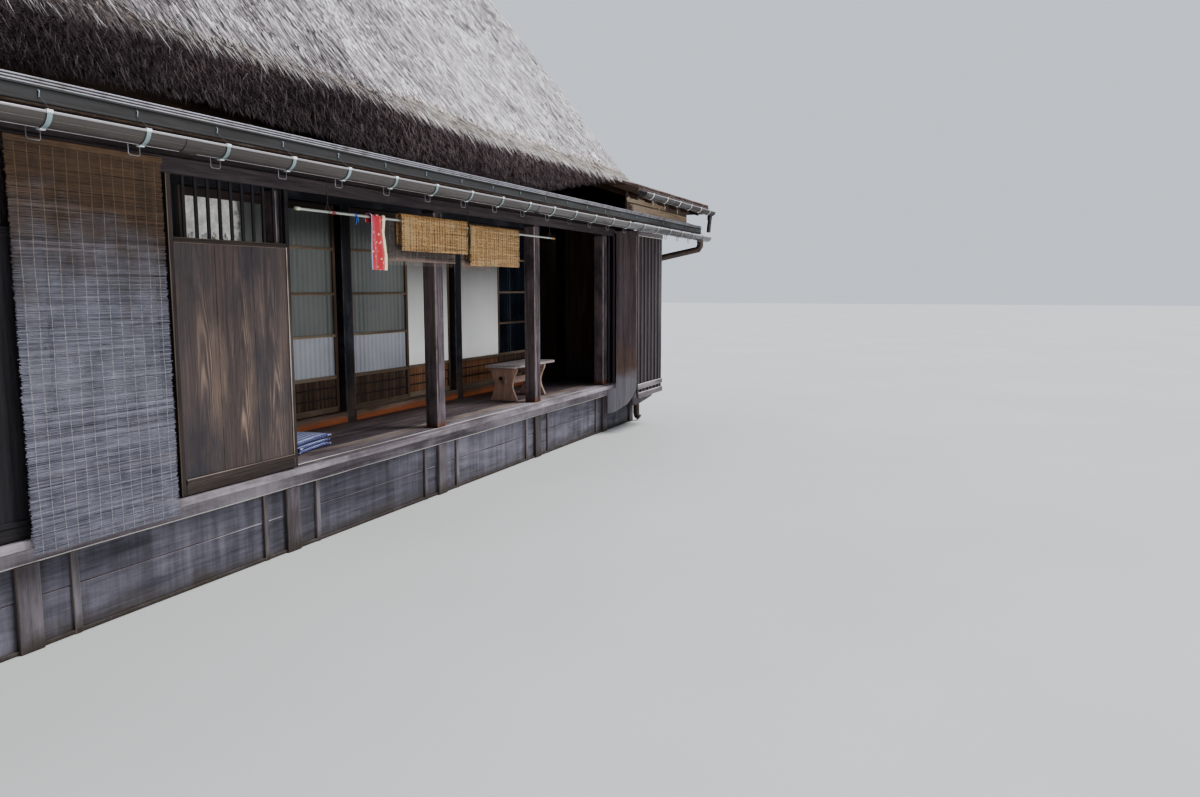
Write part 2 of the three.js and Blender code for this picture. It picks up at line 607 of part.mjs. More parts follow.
function shutterBoxes() {
  const front = -halfDepth - boxDepth;
  const railFace = -halfDepth - railReach;
  const end = halfLength - 5;
  const curvedBoard = (innerEdge) => [[front, boxTop], [front, verandaTop], [front + 40, 440],
    [front + 120, 330], [-halfDepth - 80, 220], [-halfDepth - gap, 200], [-halfDepth - gap, verandaTop - railThickness - gap],
    [innerEdge, verandaTop - railThickness - gap], [innerEdge, boxTop]];
  const leftBoard = prismAlongX(curvedBoard(railFace - 20), [boxInnerEdge, boxInnerEdge + 25]);
  const rightBoard = prismAlongX(curvedBoard(railFace - gap), [end - 25, end]);
  const run = [boxInnerEdge, end];
  const pieces = [leftBoard, rightBoard,
    block(run, [front, railFace - gap], [boxTop - 25, boxTop]),
    block(run, [front, front + 25], [boxTop - 90, boxTop]),
    block(run, [front, front + 25], [boxBottom, boxBottom + 55]),
    block(run, [front, front + 25], [boxBottom + 95, boxBottom + 150]),
    block(run, [front + 12, front + 25], [boxBottom, boxTop])];
  for (let index = 1; index <= 6; index += 1) {
    const x = run[0] + ((run[1] - run[0]) * index) / 7;
    pieces.push(block([x - 14, x + 14], [front, front + 20], [boxBottom, boxTop]));
  }
  const box = join(pieces);
  addPart('shutter_box_right', box, 'darkTimber');
  addPart('shutter_box_left', mirrorX(box), 'darkTimber');
}

function boardDoor([x0, x1], y0, latticeBars) {
  const z0 = verandaTop + doorClearance;
  const z1 = outerLintelBottom - doorClearance - 12;
  const stile = 50;
  const y1 = y0 + doorThickness;
  const topBar = 40;
  const latticeTop = z1 - topBar;
  const latticeBottom = latticeTop - latticeHeight;
  const panel = block([x0, x1], [y0 + 8, y1 - 8], [z0, z1]);
  const frame = [block([x0, x0 + stile], [y0, y1], [z0, z1]), block([x1 - stile, x1], [y0, y1], [z0, z1]),
    block([x0, x1], [y0, y1], [z0, z0 + 120]), block([x0, x1], [y0, y1], [latticeTop, z1])];
  if (latticeBars === 0) {
    return join([panel, ...frame]);
  }
  const hole = block([x0 + stile, x1 - stile], [y0 - 1, y1 + 1], [latticeBottom, latticeTop]);
  const bars = [block([x0, x1], [y0, y1], [latticeBottom - 50, latticeBottom])];
  for (let index = 1; index <= latticeBars; index += 1) {
    const x = x0 + stile + ((x1 - x0 - 2 * stile) * index) / (latticeBars + 1);
    bars.push(block([x - 9, x + 9], [y0 + 6, y1 - 6], [latticeBottom - 10, latticeTop + 10]));
  }
  const runners = [x0 + 120, x1 - 160].map((x) => block([x, x + 40], [y0 + 8, y1 - 8],
    [verandaTop + runnerGap, z0 + 10]));
  return join([cut(panel, hole), ...frame, ...bars, ...runners]);
}

function rainDoors() {
  const y0 = -halfDepth - 60;
  addPart('rain_door', boardDoor([rainDoorLeft, rainDoorLeft + rainDoorWidth], y0, 9), 'brownBoards');
  const left = -3.5 * bay + 60;
  const right = -halfBay + 40;
  const count = 6;
  const width = (right - left) / count;
  const row = [];
  for (let index = 0; index < count; index += 1) {
    row.push(boardDoor([left + index * width, left + (index + 1) * width], y0, 0));
  }
  const footing = block([left, right], [y0 + 8, y0 + doorThickness - 8], [verandaTop, verandaTop + 20]);
  addPart('closed_shutters', join([...row, footing]), 'blackTimber');
}

// Sliding door of the inner line: frame, cross bars, a thin pane and a lower panel.
function innerDoor(x0, centreY) {
  const z0 = floorTop + doorClearance;
  const z1 = innerLintelBottom - doorClearance;
  const x1 = x0 + innerDoorWidth;
  const depth = [centreY - doorThickness / 2, centreY + doorThickness / 2];
  const pane = [centreY - 3, centreY + 3];
  const stile = 40;
  const barHeights = [950, 1305, 1657, 2030];
  return join([
    block([x0, x1], pane, [z0, z1]),
    block([x0, x0 + stile], depth, [z0, z1]),
    block([x1 - stile, x1], depth, [z0, z1]),
    block([x0, x1], depth, [z0, z0 + 60]),
    block([x0, x1], depth, [z1 - 45, z1]),
    ...barHeights.map((z) => block([x0, x1], [centreY - 11, centreY + 11], [z - 13, z + 13])),
    ...[x0 + 100, x1 - 140].map((x) => block([x, x + 40], pane, [floorTop + runnerGap, z0 + 10])),
  ]);
}

function innerDoors() {
  const frontTrack = -innerLine - trackOffset;
  const backTrack = -innerLine + trackOffset;
  const kinds = [['glass_door_1', 'glass_door_2', 0.5], ['glass_door_3', 'shoji_door_1', 1.5],
    ['shoji_door_2', 'glass_door_4', 2.5]];
  kinds.forEach(([leftName, rightName, bays]) => {
    const left = bays * bay + post / 2 + doorClearance;
    const right = (bays + 1) * bay - post / 2 - doorClearance;
    const tone = (name) => (name.startsWith('glass') ? 'doorFrame' : 'paper');
    addPart(leftName, innerDoor(left, frontTrack), tone(leftName));
    addPart(rightName, innerDoor(right - innerDoorWidth, backTrack), tone(rightName));
  });

  const closedReach = halfBay - post / 2 - doorClearance;
  const closed = join([
    innerDoor(-closedReach, frontTrack),
    innerDoor(closedReach - innerDoorWidth, backTrack),
    block([closedReach - innerDoorWidth, -closedReach + innerDoorWidth], [frontTrack, backTrack],
      [floorTop + doorClearance, innerLintelBottom - doorClearance]),
    block([-closedReach, closedReach], [frontTrack - 3, frontTrack + 3], [floorTop, floorTop + 30]),
  ]);
  addPart('closed_doors', closed, 'paper');
}

function hungThings() {
  const rod = new THREE.CylinderGeometry(poleRadius, poleRadius, poleEnd - poleStart, 12);
  rod.rotateZ(Math.PI / 2);
  rod.translate((poleStart + poleEnd) / 2, poleLine, poleHeight);
  const sheetUnderside = pentTopAt(-poleLine) - sheetThickness;
  const rafterUnderside = sheetUnderside - rafterDepth;
  const hanger = (x, seat) => prismAlongX([
    [poleLine - 10, poleHeight - 10], [poleLine + 10, poleHeight - 10],
    [poleLine + 10, seat + 10 * pentSlope - gap],
    [poleLine - 10, seat - 10 * pentSlope - gap]], [x - 8, x + 8]);
  const hangers = [hanger(2 * rafterSpacing, rafterUnderside), hanger(2600, sheetUnderside),
    hanger(9 * rafterSpacing, rafterUnderside)];
  addPart('pole', join([toSolid(rod), ...hangers]), 'bamboo');

  const draped = ([x0, x1], frontBottom, backBottom, thickness) => {
    const reach = poleRadius + gap;
    const outer = reach + thickness;
    return prismAlongX([
      [poleLine - outer, frontBottom], [poleLine - reach, frontBottom], [poleLine - reach, poleHeight + reach],
      [poleLine + reach, poleHeight + reach], [poleLine + reach, backBottom], [poleLine + outer, backBottom],
      [poleLine + outer, poleHeight + outer], [poleLine - outer, poleHeight + outer]], [x0, x1]);
  };
  addPart('small_blind_1', draped([1680, 2580], 1965, 2010, blindThickness), 'bamboo');
  addPart('small_blind_2', draped([2620, 3475], 1880, 1940, blindThickness), 'bamboo');
  addPart('towel', draped([1340, 1510], 1830, 1960, 6), 'towel');

  const behind = poleLine + poleRadius + gap + blindThickness + gap;
  const oldRun = [behind, behind + 8];
  addPart('old_blinds', join([
    block([1530, 2490], oldRun, [1890, poleHeight + 15]),
    block([2600, 3060], oldRun, [1857, poleHeight + 15]),
    block([1530, 3060], oldRun, [poleHeight + 5, poleHeight + 15]),
  ]), 'reed');

  const reedFace = -halfDepth - railReach - 20;
  const [reedLeft, reedRight] = reedBlindRun;
  const reed = join([
    block([reedLeft, reedRight], [reedFace - 12, reedFace], [490, 2400]),
    block([reedLeft - 10, reedRight + 10], [reedFace - 22, -halfDepth - railReach], [2345, 2375]),
  ]);
  addPart('reed_blind', reed, 'reed');
}

// Square cushion turned a little on the veranda floor.
function cushion([z0, z1]) {
  const side = 520;
  const geometry = new THREE.BoxGeometry(side, side, z1 - z0);
  geometry.rotateZ(THREE.MathUtils.degToRad(12));
  geometry.translate(1400, -4125, (z0 + z1) / 2);
  return toSolid(geometry);
}

function looseThings() {
  const seatTop = 925;
  const seatBottom = seatTop - 30;
  const seat = block([4440, 5400], [-4400, -4060], [seatBottom, seatTop]);
  const front = -4400;
  const back = -4080;
  const waist = 55;
  const legOutline = [[front, verandaTop], [front + 90, verandaTop], [front + 110, verandaTop + 25],
    [back - 110, verandaTop + 25], [back - 90, verandaTop], [back, verandaTop],
    [back - waist * 0.7, verandaTop + 90], [back - waist, verandaTop + 180],
    [back - waist * 0.7, verandaTop + 265], [back, seatBottom], [front, seatBottom],
    [front + waist * 0.7, verandaTop + 265], [front + waist, verandaTop + 180],
    [front + waist * 0.7, verandaTop + 90]];
  const legs = [4500, 5150].map((x) => prismAlongX(legOutline, [x, x + 30]));
  const stretcher = block([4460, 5220], [-4285, -4255], [725, 800]);
  addPart('bench', join([seat, stretcher, ...legs]), 'bench');
  addPart('cushion_lower', cushion([verandaTop, verandaTop + 55]), 'cushion');
  addPart('cushion_upper', cushion([verandaTop + 55 + gap, verandaTop + 95]), 'cushion');
}

sillBoards();
floors();
frames();
walls();
attic();
gables();
verges();
thatch();
lowRoofs();
gutters();
shutterBoxes();
rainDoors();
innerDoors();
hungThings();
looseThings();

export default house;
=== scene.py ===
import math
import random

import bpy
from mathutils import Matrix, Vector


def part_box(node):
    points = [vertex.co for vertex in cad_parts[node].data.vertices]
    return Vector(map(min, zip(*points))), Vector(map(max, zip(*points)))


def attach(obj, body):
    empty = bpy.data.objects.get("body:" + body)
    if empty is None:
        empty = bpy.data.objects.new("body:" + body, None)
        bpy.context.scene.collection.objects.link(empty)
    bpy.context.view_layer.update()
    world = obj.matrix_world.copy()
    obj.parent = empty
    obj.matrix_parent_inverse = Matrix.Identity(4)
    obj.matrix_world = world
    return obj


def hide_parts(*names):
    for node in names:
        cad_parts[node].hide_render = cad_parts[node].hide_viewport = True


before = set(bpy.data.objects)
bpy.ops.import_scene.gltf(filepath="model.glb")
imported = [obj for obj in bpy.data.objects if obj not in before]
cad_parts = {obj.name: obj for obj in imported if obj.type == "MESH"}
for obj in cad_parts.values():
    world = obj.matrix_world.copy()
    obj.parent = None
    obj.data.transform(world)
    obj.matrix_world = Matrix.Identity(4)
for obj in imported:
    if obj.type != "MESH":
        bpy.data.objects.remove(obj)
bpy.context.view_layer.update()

# The camera stands left of the veranda and looks along it
camera = {"place": (-3.77, -8.663, 1.707), "heading": 22.108, "pitch": 6.856, "lens": 27.57, "film": 36,
          "far": 400}
bpy.ops.object.camera_add(
    location=camera["place"],
    rotation=(math.radians(90 - camera["pitch"]), 0, math.radians(camera["heading"] - 90)))
viewer = bpy.context.object
viewer.name = "camera"
viewer.data.lens = camera["lens"]
viewer.data.sensor_width = camera["film"]
viewer.data.clip_end = camera["far"]
bpy.context.scene.camera = viewer
print("camera stands")

# Values that several pieces share
weldDistance = 0.0002
smoothAngle = math.radians(40)
ends = (("Right", 1), ("Left", -1))


# Modelling helpers
def clearSelection():
    if bpy.context.object and bpy.context.object.mode != "OBJECT":
        bpy.ops.object.mode_set(mode="OBJECT")
    bpy.ops.object.select_all(action="DESELECT")


def only(obj):
    clearSelection()
    obj.select_set(True)
    bpy.context.view_layer.objects.active = obj
    return obj


def linked(obj):
    bpy.context.scene.collection.objects.link(obj)
    return obj


def pick(obj, kind, test=lambda part: True):
    # leaves the object in edit mode with the parts that pass the test selected
    only(obj)
    bpy.ops.object.mode_set(mode="EDIT")
    bpy.ops.mesh.select_mode(type=kind)
    bpy.ops.mesh.select_all(action="DESELECT")
    bpy.ops.object.mode_set(mode="OBJECT")
    parts = {"FACE": obj.data.polygons, "EDGE": obj.data.edges, "VERT": obj.data.vertices}[kind]
    for part in parts:
        part.select = bool(test(part))
    bpy.ops.object.mode_set(mode="EDIT")


def done():
    bpy.ops.object.mode_set(mode="OBJECT")


def outward(obj):
    pick(obj, "FACE")
    bpy.ops.mesh.normals_make_consistent(inside=False)
    done()


def bevelled(obj, width, slot, test=lambda edge: True):
    # the narrow faces of the bevel get the material of that slot
    pick(obj, "EDGE", test)
    bpy.ops.mesh.bevel(offset=width, segments=1, affect="EDGES", material=slot)
    done()


def subdivided(obj, cuts, test=lambda edge: True):
    pick(obj, "EDGE", test)
    bpy.ops.mesh.subdivide(number_cuts=cuts)
    done()


def coloured(obj, looks):
    for look in looks:
        obj.data.materials.append(look)
    return obj


def applied(obj, kind, **settings):
    only(obj)
    modifier = obj.modifiers.new(kind.lower(), kind)
    for key, value in settings.items():
        setattr(modifier, key, value)
    bpy.ops.object.modifier_apply(modifier=modifier.name)
    return obj


def remeshed(obj, voxel):
    return applied(obj, "REMESH", mode="VOXEL", voxel_size=voxel, use_smooth_shade=True)


def roughened(obj, size, strength):
    # moves the surface in and out by a cloud pattern
    pattern = bpy.data.textures.new(obj.name + "Clouds", "CLOUDS")
    pattern.noise_scale = size
    pattern.noise_depth = 2
    return applied(obj, "DISPLACE", texture=pattern, strength=strength, mid_level=0.5, texture_coords="LOCAL")


def block(low, high, looks, bevel=0.004, cuts=0, uneven=0.0, allEdges=False):
    # a piece of wood between two corners, with the last look along its worn edges
    clearSelection()
    bpy.ops.mesh.primitive_cube_add(size=1, location=[(a + b) / 2 for a, b in zip(low, high)])
    obj = bpy.context.object
    sizes = [b - a for a, b in zip(low, high)]
    obj.scale = sizes
    bpy.ops.object.transform_apply(location=True, rotation=True, scale=True)
    coloured(obj, looks)
    axis = sizes.index(max(sizes))

    def runs(edge):
        a, b = (obj.data.vertices[i].co for i in edge.vertices)
        return abs((b - a)[axis]) > 0.9 * (b - a).length
    if bevel:
        bevelled(obj, bevel, len(looks) - 1, lambda edge: allEdges or runs(edge))
    if cuts:
        subdivided(obj, cuts, runs)
        if uneven:
            roughened(obj, 0.3, uneven)
    return obj


def blocks(looks, bevel, rows, cuts=0, uneven=0.0):
    # one block for each row of x0, y0, z0, x1, y1, z1
    return [block(row[:3], row[3:], looks, bevel, cuts, uneven) for row in rows]


def beam(start, end, width, depth, looks, bevel=0.0, cuts=0, uneven=0.0):
    # a squared bar between two points, its depth up
    run = Vector(end) - Vector(start)
    obj = block((0, -width / 2, -depth / 2), (run.length, width / 2, depth / 2), looks, bevel, cuts, uneven)
    turn = run.to_track_quat("X", "Z").to_matrix().to_4x4()
    obj.data.transform(Matrix.Translation(Vector(start)) @ turn)
    return obj


def copyOf(obj, offset=(0, 0, 0), turn=Matrix.Identity(4)):
    new = obj.copy()
    new.data = obj.data.copy()
    new.data.transform(Matrix.Translation(Vector(offset)) @ turn)
    return linked(new)


def rowOf(model, offsets):
    # moved copies of the model, which goes; an offset that is one number is along X
    made = [copyOf(model, offset if isinstance(offset, tuple) else (offset, 0, 0)) for offset in offsets]
    bpy.data.objects.remove(model)
    return made


def named(obj, name):
    obj.name = name
    obj.data.name = name
    return obj


def joined(name, parts):
    clearSelection()
    for part in parts:
        part.select_set(True)
    bpy.context.view_layer.objects.active = parts[0]
    if len(parts) > 1:
        bpy.ops.object.join()
    return named(bpy.context.object, name)


def tube(points, radius, look, sides=8):
    # a round bar along a line of points
    curve = bpy.data.curves.new("bar", "CURVE")
    curve.dimensions = "3D"
    curve.bevel_depth = radius
    curve.bevel_resolution = max(0, sides // 2 - 2)
    curve.use_fill_caps = True
    line = curve.splines.new("POLY")
    line.points.add(len(points) - 1)
    for point, place in zip(line.points, points):
        point.co = (*place, 1)
    only(linked(bpy.data.objects.new("bar", curve)))
    bpy.ops.object.convert(target="MESH")
    obj = bpy.context.object
    obj.data.materials.clear()
    return coloured(obj, [look])


def profile(outline, start, end, looks):
    # a shape drawn across X and extruded along it; its corners are points of (y, z)
    clearSelection()
    bpy.ops.mesh.primitive_circle_add(vertices=len(outline), fill_type="NGON")
    obj = bpy.context.object
    for vertex, (y, z) in zip(obj.data.vertices, outline):
        vertex.co = (start, y, z)
    pick(obj, "FACE")
    bpy.ops.mesh.extrude_region_move(TRANSFORM_OT_translate={"value": (end - start, 0, 0)})
    outward(obj)
    return coloured(obj, looks)


def gridOf(columns, rows, placeOf):
    # a sheet of columns by rows faces; placeOf gives the place of each pair of shares from 0 to 1
    clearSelection()
    bpy.ops.mesh.primitive_grid_add(x_subdivisions=columns, y_subdivisions=rows, size=1)
    obj = bpy.context.object
    for vertex in obj.data.vertices:
        vertex.co = placeOf(vertex.co.x + 0.5, vertex.co.y + 0.5)
    return obj


def ringPoint(centre, radius, degrees):
    angle = math.radians(degrees)
    return centre[0] + radius * math.cos(angle), centre[1] + radius * math.sin(angle)


def channel(centre, radius, start, end, look, low=180, high=360, steps=14):
    # part of a round pipe along X, open between the angles; 270 degrees is straight down
    def placeOf(u, v):
        return (start + (end - start) * u, *ringPoint(centre, radius, low + (high - low) * v))
    obj = gridOf(1, steps, placeOf)
    applied(obj, "SOLIDIFY", thickness=0.002, offset=0)
    outward(obj)
    bpy.ops.object.shade_smooth_by_angle(angle=smoothAngle)
    return coloured(obj, [look])


def ribbed(x0, x1, y, z0, z1, pitch, depth, look):
    # a sheet with upright ribs
    count = int(round((x1 - x0) / pitch)) * 2

    def placeOf(u, v):
        return (x0 + (x1 - x0) * u, y - depth * (round(u * count) % 2), z0 + (z1 - z0) * v)
    obj = gridOf(count, 1, placeOf)
    applied(obj, "SOLIDIFY", thickness=0.002, offset=-1)
    outward(obj)
    return coloured(obj, [look])


def turnedAbout(centre, axis, degrees):
    there = Matrix.Translation(Vector(centre))
    return there @ Matrix.Rotation(math.radians(degrees), 4, axis) @ there.inverted()


def mergedCopy(node, name):
    obj = linked(bpy.data.objects.new(name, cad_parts[node].data.copy()))
    obj.data.materials.clear()
    pick(obj, "VERT")
    bpy.ops.mesh.remove_doubles(threshold=weldDistance)
    done()
    return obj


def facesOf(obj, name, test):
    # a copy that holds only the faces that pass the test
    new = copyOf(obj)
    new.name = name
    pick(new, "FACE", lambda face: not test(face))
    bpy.ops.mesh.delete(type="FACE")
    done()
    return new


def finished(obj, slot, replace=True, body="house"):
    # replace is set on the one piece that stands in for the node of its slot
    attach(obj, body)
    if replace:
        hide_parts(slot)
    return obj


def onBothSides(obj, slots, replace=False, turn=Matrix.Rotation(math.pi, 4, "Z")):
    # the piece, and its turned copy on the other side of the house
    other = copyOf(obj, turn=turn)
    other.name = obj.name.replace("Front", "Back").replace("Right", "Left")
    finished(obj, slots[0], replace)
    finished(other, slots[1], replace)
    return other


# Node helpers; they work on the node tree that was started last
work = {"tree": None, "shader": None}
white = "#ffffff"


def tint(code, share=1.0):
    # a colour as #rrggbb, made darker by the share
    def linear(value):
        value /= 255
        return value / 12.92 if value <= 0.04045 else ((value + 0.055) / 1.055) ** 2.4
    return tuple(linear(int(code[i:i + 2], 16)) * share for i in (1, 3, 5)) + (1,)


def fed(sockets, values):
    for key, value in values.items():
        if isinstance(value, bpy.types.NodeSocket):
            work["tree"].links.new(value, sockets[key])
        elif isinstance(value, str) and value.startswith("#"):
            sockets[key].default_value = tint(value)
        else:
            sockets[key].default_value = value


def node(kind, sockets=None, **settings):
    made = work["tree"].nodes.new(kind)
    for key, value in settings.items():
        setattr(made, key, value)
    fed(made.inputs, sockets or {})
    return made


def placed(group, sockets):
    made = node("ShaderNodeGroup", node_tree=group)
    fed(made.inputs, sockets)
    return made.outputs


def calc(operation, a, b=0.0, c=0.0):
    return node("ShaderNodeMath", {0: a, 1: b, 2: c}, operation=operation).outputs[0]


def times(a, b):
    return calc("MULTIPLY", a, b)


def plus(a, b):
    return calc("ADD", a, b)


def minus(a, b):
    return calc("SUBTRACT", a, b)


def timesPlus(a, b, c):
    return calc("MULTIPLY_ADD", a, b, c)


def vectorCalc(operation, sockets):
    return node("ShaderNodeVectorMath", sockets, operation=operation).outputs


def split(vector):
    return node("ShaderNodeSeparateXYZ", {0: vector}).outputs


def mixed(factor, a, b, way="MIX"):
    return node("ShaderNodeMix", {0: factor, 6: a, 7: b}, data_type="RGBA", blend_type=way).outputs[2]


def spread(value, low, high, toLow=0.0, toHigh=1.0):
    return node("ShaderNodeMapRange", {0: value, 1: low, 2: high, 3: toLow, 4: toHigh}).outputs[0]


def lit(colour, level):
    return node("ShaderNodeHueSaturation", {"Value": level, "Color": colour}).outputs[0]


def noise(vector, scale, detail=4.0, roughness=0.55, distortion=0.0):
    return node("ShaderNodeTexNoise", {
        "Vector": vector, "Scale": scale, "Detail": detail, "Roughness": roughness,
        "Distortion": distortion}).outputs["Fac"]


def cells(vector, scale):
    return node("ShaderNodeTexVoronoi", {"Vector": vector, "Scale": scale}).outputs["Distance"]


def stretched(vector, scale):
    return node("ShaderNodeMapping", {"Vector": vector, "Scale": scale}).outputs[0]


def startGroup(name, kind, inputs, outputs):
    # an empty node group with its inputs (name, kind, value) and outputs (name, kind)
    tree = bpy.data.node_groups.new(name, kind)
    work["tree"] = tree
    for label, kind, value in inputs:
        socket = tree.interface.new_socket(name=label, in_out="INPUT", socket_type="NodeSocket" + kind)
        if value is not None:
            socket.default_value = value
    for label, kind in outputs:
        tree.interface.new_socket(name=label, in_out="OUTPUT", socket_type="NodeSocket" + kind)
    return tree, tree.nodes.new("NodeGroupInput").outputs, tree.nodes.new("NodeGroupOutput").inputs


def effect(name, inputs, result, way):
    # a shader node group that puts out a colour and, if the result is named, one value
    colour = ("Color", "Color", None)
    inputs = [colour if item == "Color" else ("Vector", "Vector", None) if item == "Vector" else item
              for item in inputs]
    outputs = [("Color", "Color")] + ([(result, "Float")] if result else [])
    tree, entry, leave = startGroup(name, "ShaderNodeTree", inputs, outputs)
    fed(leave, way(entry))
    return tree


def grainWay(entry):
    broad = noise(entry["Vector"], 1.0, 5, 0.6, 0.8)
    fine = noise(entry["Vector"], 4.7, 3, 0.7)
    both = timesPlus(broad, 0.62, times(fine, 0.38))
    low = timesPlus(entry["Contrast"], 0.42, 0.08)
    height = spread(both, low, minus(1.0, low))
    return {"Color": mixed(height, entry["Dark"], entry["Light"]), "Height": height}


def weatheringWay(entry):
    cloud = noise(entry["Vector"], entry["Size"], 6, 0.62, 0.3)
    edge = minus(0.78, times(entry["Amount"], 0.5))
    mask = times(spread(cloud, minus(edge, 0.12), plus(edge, 0.08)), 0.85)
    return {"Color": mixed(mask, entry["Color"], entry["Weathered"]), "Mask": mask}


def boardWay(entry):
    index = calc("FLOOR", calc("DIVIDE", entry["Across"], entry["Width"]))
    chance = node("ShaderNodeTexWhiteNoise", {"W": index}, noise_dimensions="1D").outputs["Value"]
    level = timesPlus(minus(chance, 0.5), entry["Amount"], 1.0)
    return {"Color": lit(entry["Color"], level), "Shift": times(chance, 7.0)}


def heightWay(entry):
    cloud = minus(noise(entry["Vector"], 3.5, 5, 0.65), 0.5)
    ragged = timesPlus(cloud, times(entry["Softness"], 2.2), split(entry["Vector"])[2])
    half = times(entry["Softness"], 0.5)
    mask = spread(ragged, minus(entry["Height"], half), plus(entry["Height"], half))
    return {"Color": mixed(mask, entry["Low Color"], entry["High Color"])}


def edgeWay(entry):
    facing = node("ShaderNodeNewGeometry").outputs["True Normal"]
    a, b, c = split(vectorCalc("ABSOLUTE", {0: facing})[0])
    most = calc("MAXIMUM", a, calc("MAXIMUM", b, c))
    patch = spread(noise(entry["Vector"], 6.0, 4, 0.6), 0.35, 0.6, 0.15, 1.0)
    mask = times(times(spread(most, 0.93, 0.8), patch), entry["Amount"])
    return {"Color": mixed(mask, entry["Color"], entry["Worn"])}


def dripWay(entry):
    runs = noise(stretched(entry["Vector"], (13, 13, 1.1)), 1.0, 5, 0.65)
    return {"Color": lit(entry["Color"], minus(1.12, times(spread(runs, 0.36, 0.62), entry["Amount"])))}


# Wood grain, read along a vector that is stretched along the board
woodGrain = effect("woodGrain", ["Vector", ("Dark", "Color", None), ("Light", "Color", None),
                                 ("Contrast", "Float", 0.5)], "Height", grainWay)
# Patches where the surface has gone grey, pale or rusty
weathering = effect("weathering", ["Color", ("Weathered", "Color", None), "Vector", ("Size", "Float", 2.0),
                                   ("Amount", "Float", 0.4)], "Mask", weatheringWay)
# Each board of a row gets its own tone and its own stretch of grain
boardTones = effect("boardTones", [("Across", "Float", 0.0), ("Width", "Float", 0.15), "Color",
                                   ("Amount", "Float", 0.3)], "Shift", boardWay)
# One colour low down and another above, with a ragged border between
heightFade = effect("heightFade", [("Low Color", "Color", None), ("High Color", "Color", None), "Vector",
                                   ("Height", "Float", 1.0), ("Softness", "Float", 0.2)], None, heightWay)
# Pale wear on the narrow faces that a bevel leaves along the edges
edgeWear = effect("edgeWear", ["Color", ("Worn", "Color", None), "Vector", ("Amount", "Float", 0.7)], None,
                  edgeWay)
# Upright rain stains
drips = effect("drips", ["Color", "Vector", ("Amount", "Float", 0.4)], None, dripWay)


def newMaterial(name):
    material = bpy.data.materials.new(name)
    material.use_nodes = True
    work["tree"] = material.node_tree
    work["shader"] = material.node_tree.nodes["Principled BSDF"].inputs
    return material, node("ShaderNodeTexCoord").outputs["Object"]


def shaded(colour, rough, height=None, relief=0.0, depth=0.0, more=None):
    # feeds the shader of the newest material, with a bump if there is a height
    fed(work["shader"], {"Base Color": colour, "Roughness": rough, **(more or {})})
    if height:
        bump = node("ShaderNodeBump", {"Height": height, "Strength": relief, "Distance": depth})
        fed(work["shader"], {"Normal": bump.outputs[0]})


def faded(low, high, coords, height, softness):
    return placed(heightFade, {"Low Color": low, "High Color": high, "Vector": coords, "Height": height,
                               "Softness": softness})["Color"]


def boardTone(across, width, amount):
    return placed(boardTones, {"Across": across, "Width": width, "Color": white, "Amount": amount})


def grained(vector, dark, light, contrast=0.5):
    return placed(woodGrain, {"Vector": vector, "Dark": dark, "Light": light, "Contrast": contrast})


def weathered(colour, worn, vector, size, amount):
    return placed(weathering, {"Color": colour, "Weathered": worn, "Vector": vector, "Size": size,
                               "Amount": amount})


def wood(name, axis, dark, light, worn, wear=0.35, patch=2.0, rough=0.72, fibre=(1.2, 34), boards=None,
         tones=0.35, contrast=0.5, relief=0.5, low=None, stains=0.0):
    # axis is the one the grain runs along; boards is (axis across, width) on a boarded face;
    # low is (colour, height, softness) of a stain from below; stains is the strength of upright drips
    material, coords = newMaterial(name)
    vector = coords
    if boards:
        tone = boardTone(split(coords)[boards[0]], boards[1], tones)
        move = node("ShaderNodeCombineXYZ", {i: tone["Shift"] for i in range(3)}).outputs[0]
        vector = vectorCalc("ADD", {0: coords, 1: move})[0]
    vector = stretched(vector, [fibre[0] if i == axis else fibre[1] for i in range(3)])
    grain = grained(vector, dark, light, contrast)
    colour = grain["Color"]
    if boards:
        colour = mixed(1.0, colour, tone["Color"], "MULTIPLY")
    patches = [0.3 if i == axis else 1.0 for i in range(3)]
    colour = weathered(colour, worn, stretched(coords, patches), patch, wear)["Color"]
    if stains:
        colour = placed(drips, {"Color": colour, "Vector": coords, "Amount": stains})["Color"]
    if low:
        stain, height, softness = low
        lower = grained(vector, tint(stain, 0.62), stain, contrast)["Color"]
        colour = faded(lower, colour, coords, height, softness)
    shaded(colour, spread(grain["Height"], 0, 1, rough + 0.12, rough - 0.1), grain["Height"], relief, 0.004,
           more={"Specular IOR Level": 0.35})
    return material


def metal(name, colour, rust, amount, rough=0.45, metallic=0.0, streak=(3, 3, 3)):
    material, coords = newMaterial(name)
    vector = stretched(coords, streak)
    soft = noise(vector, 2.2, 5, 0.6)
    base = mixed(spread(soft, 0.3, 0.7), colour, tint(colour, 0.68))
    old = weathered(base, rust, vector, 3.0, amount)
    shaded(old["Color"], spread(old["Mask"], 0, 1, rough, 0.85), soft, 0.15, 0.003,
           more={"Metallic": metallic})
    return material


edgeX = wood("wornEdgeX", 0, "#7c706a", "#cac0ba", "#dcd6d0", 0.6)
edgeZ = wood("wornEdgeZ", 2, "#685c54", "#a49890", "#b8b2ac", 0.5)
darkEdgeX = wood("darkEdgeX", 0, "#463c36", "#7c6c60", "#8c827a", 0.4)
darkEdgeZ = wood("darkEdgeZ", 2, "#423832", "#78685c", "#8c827a", 0.4)
print("shared materials made")

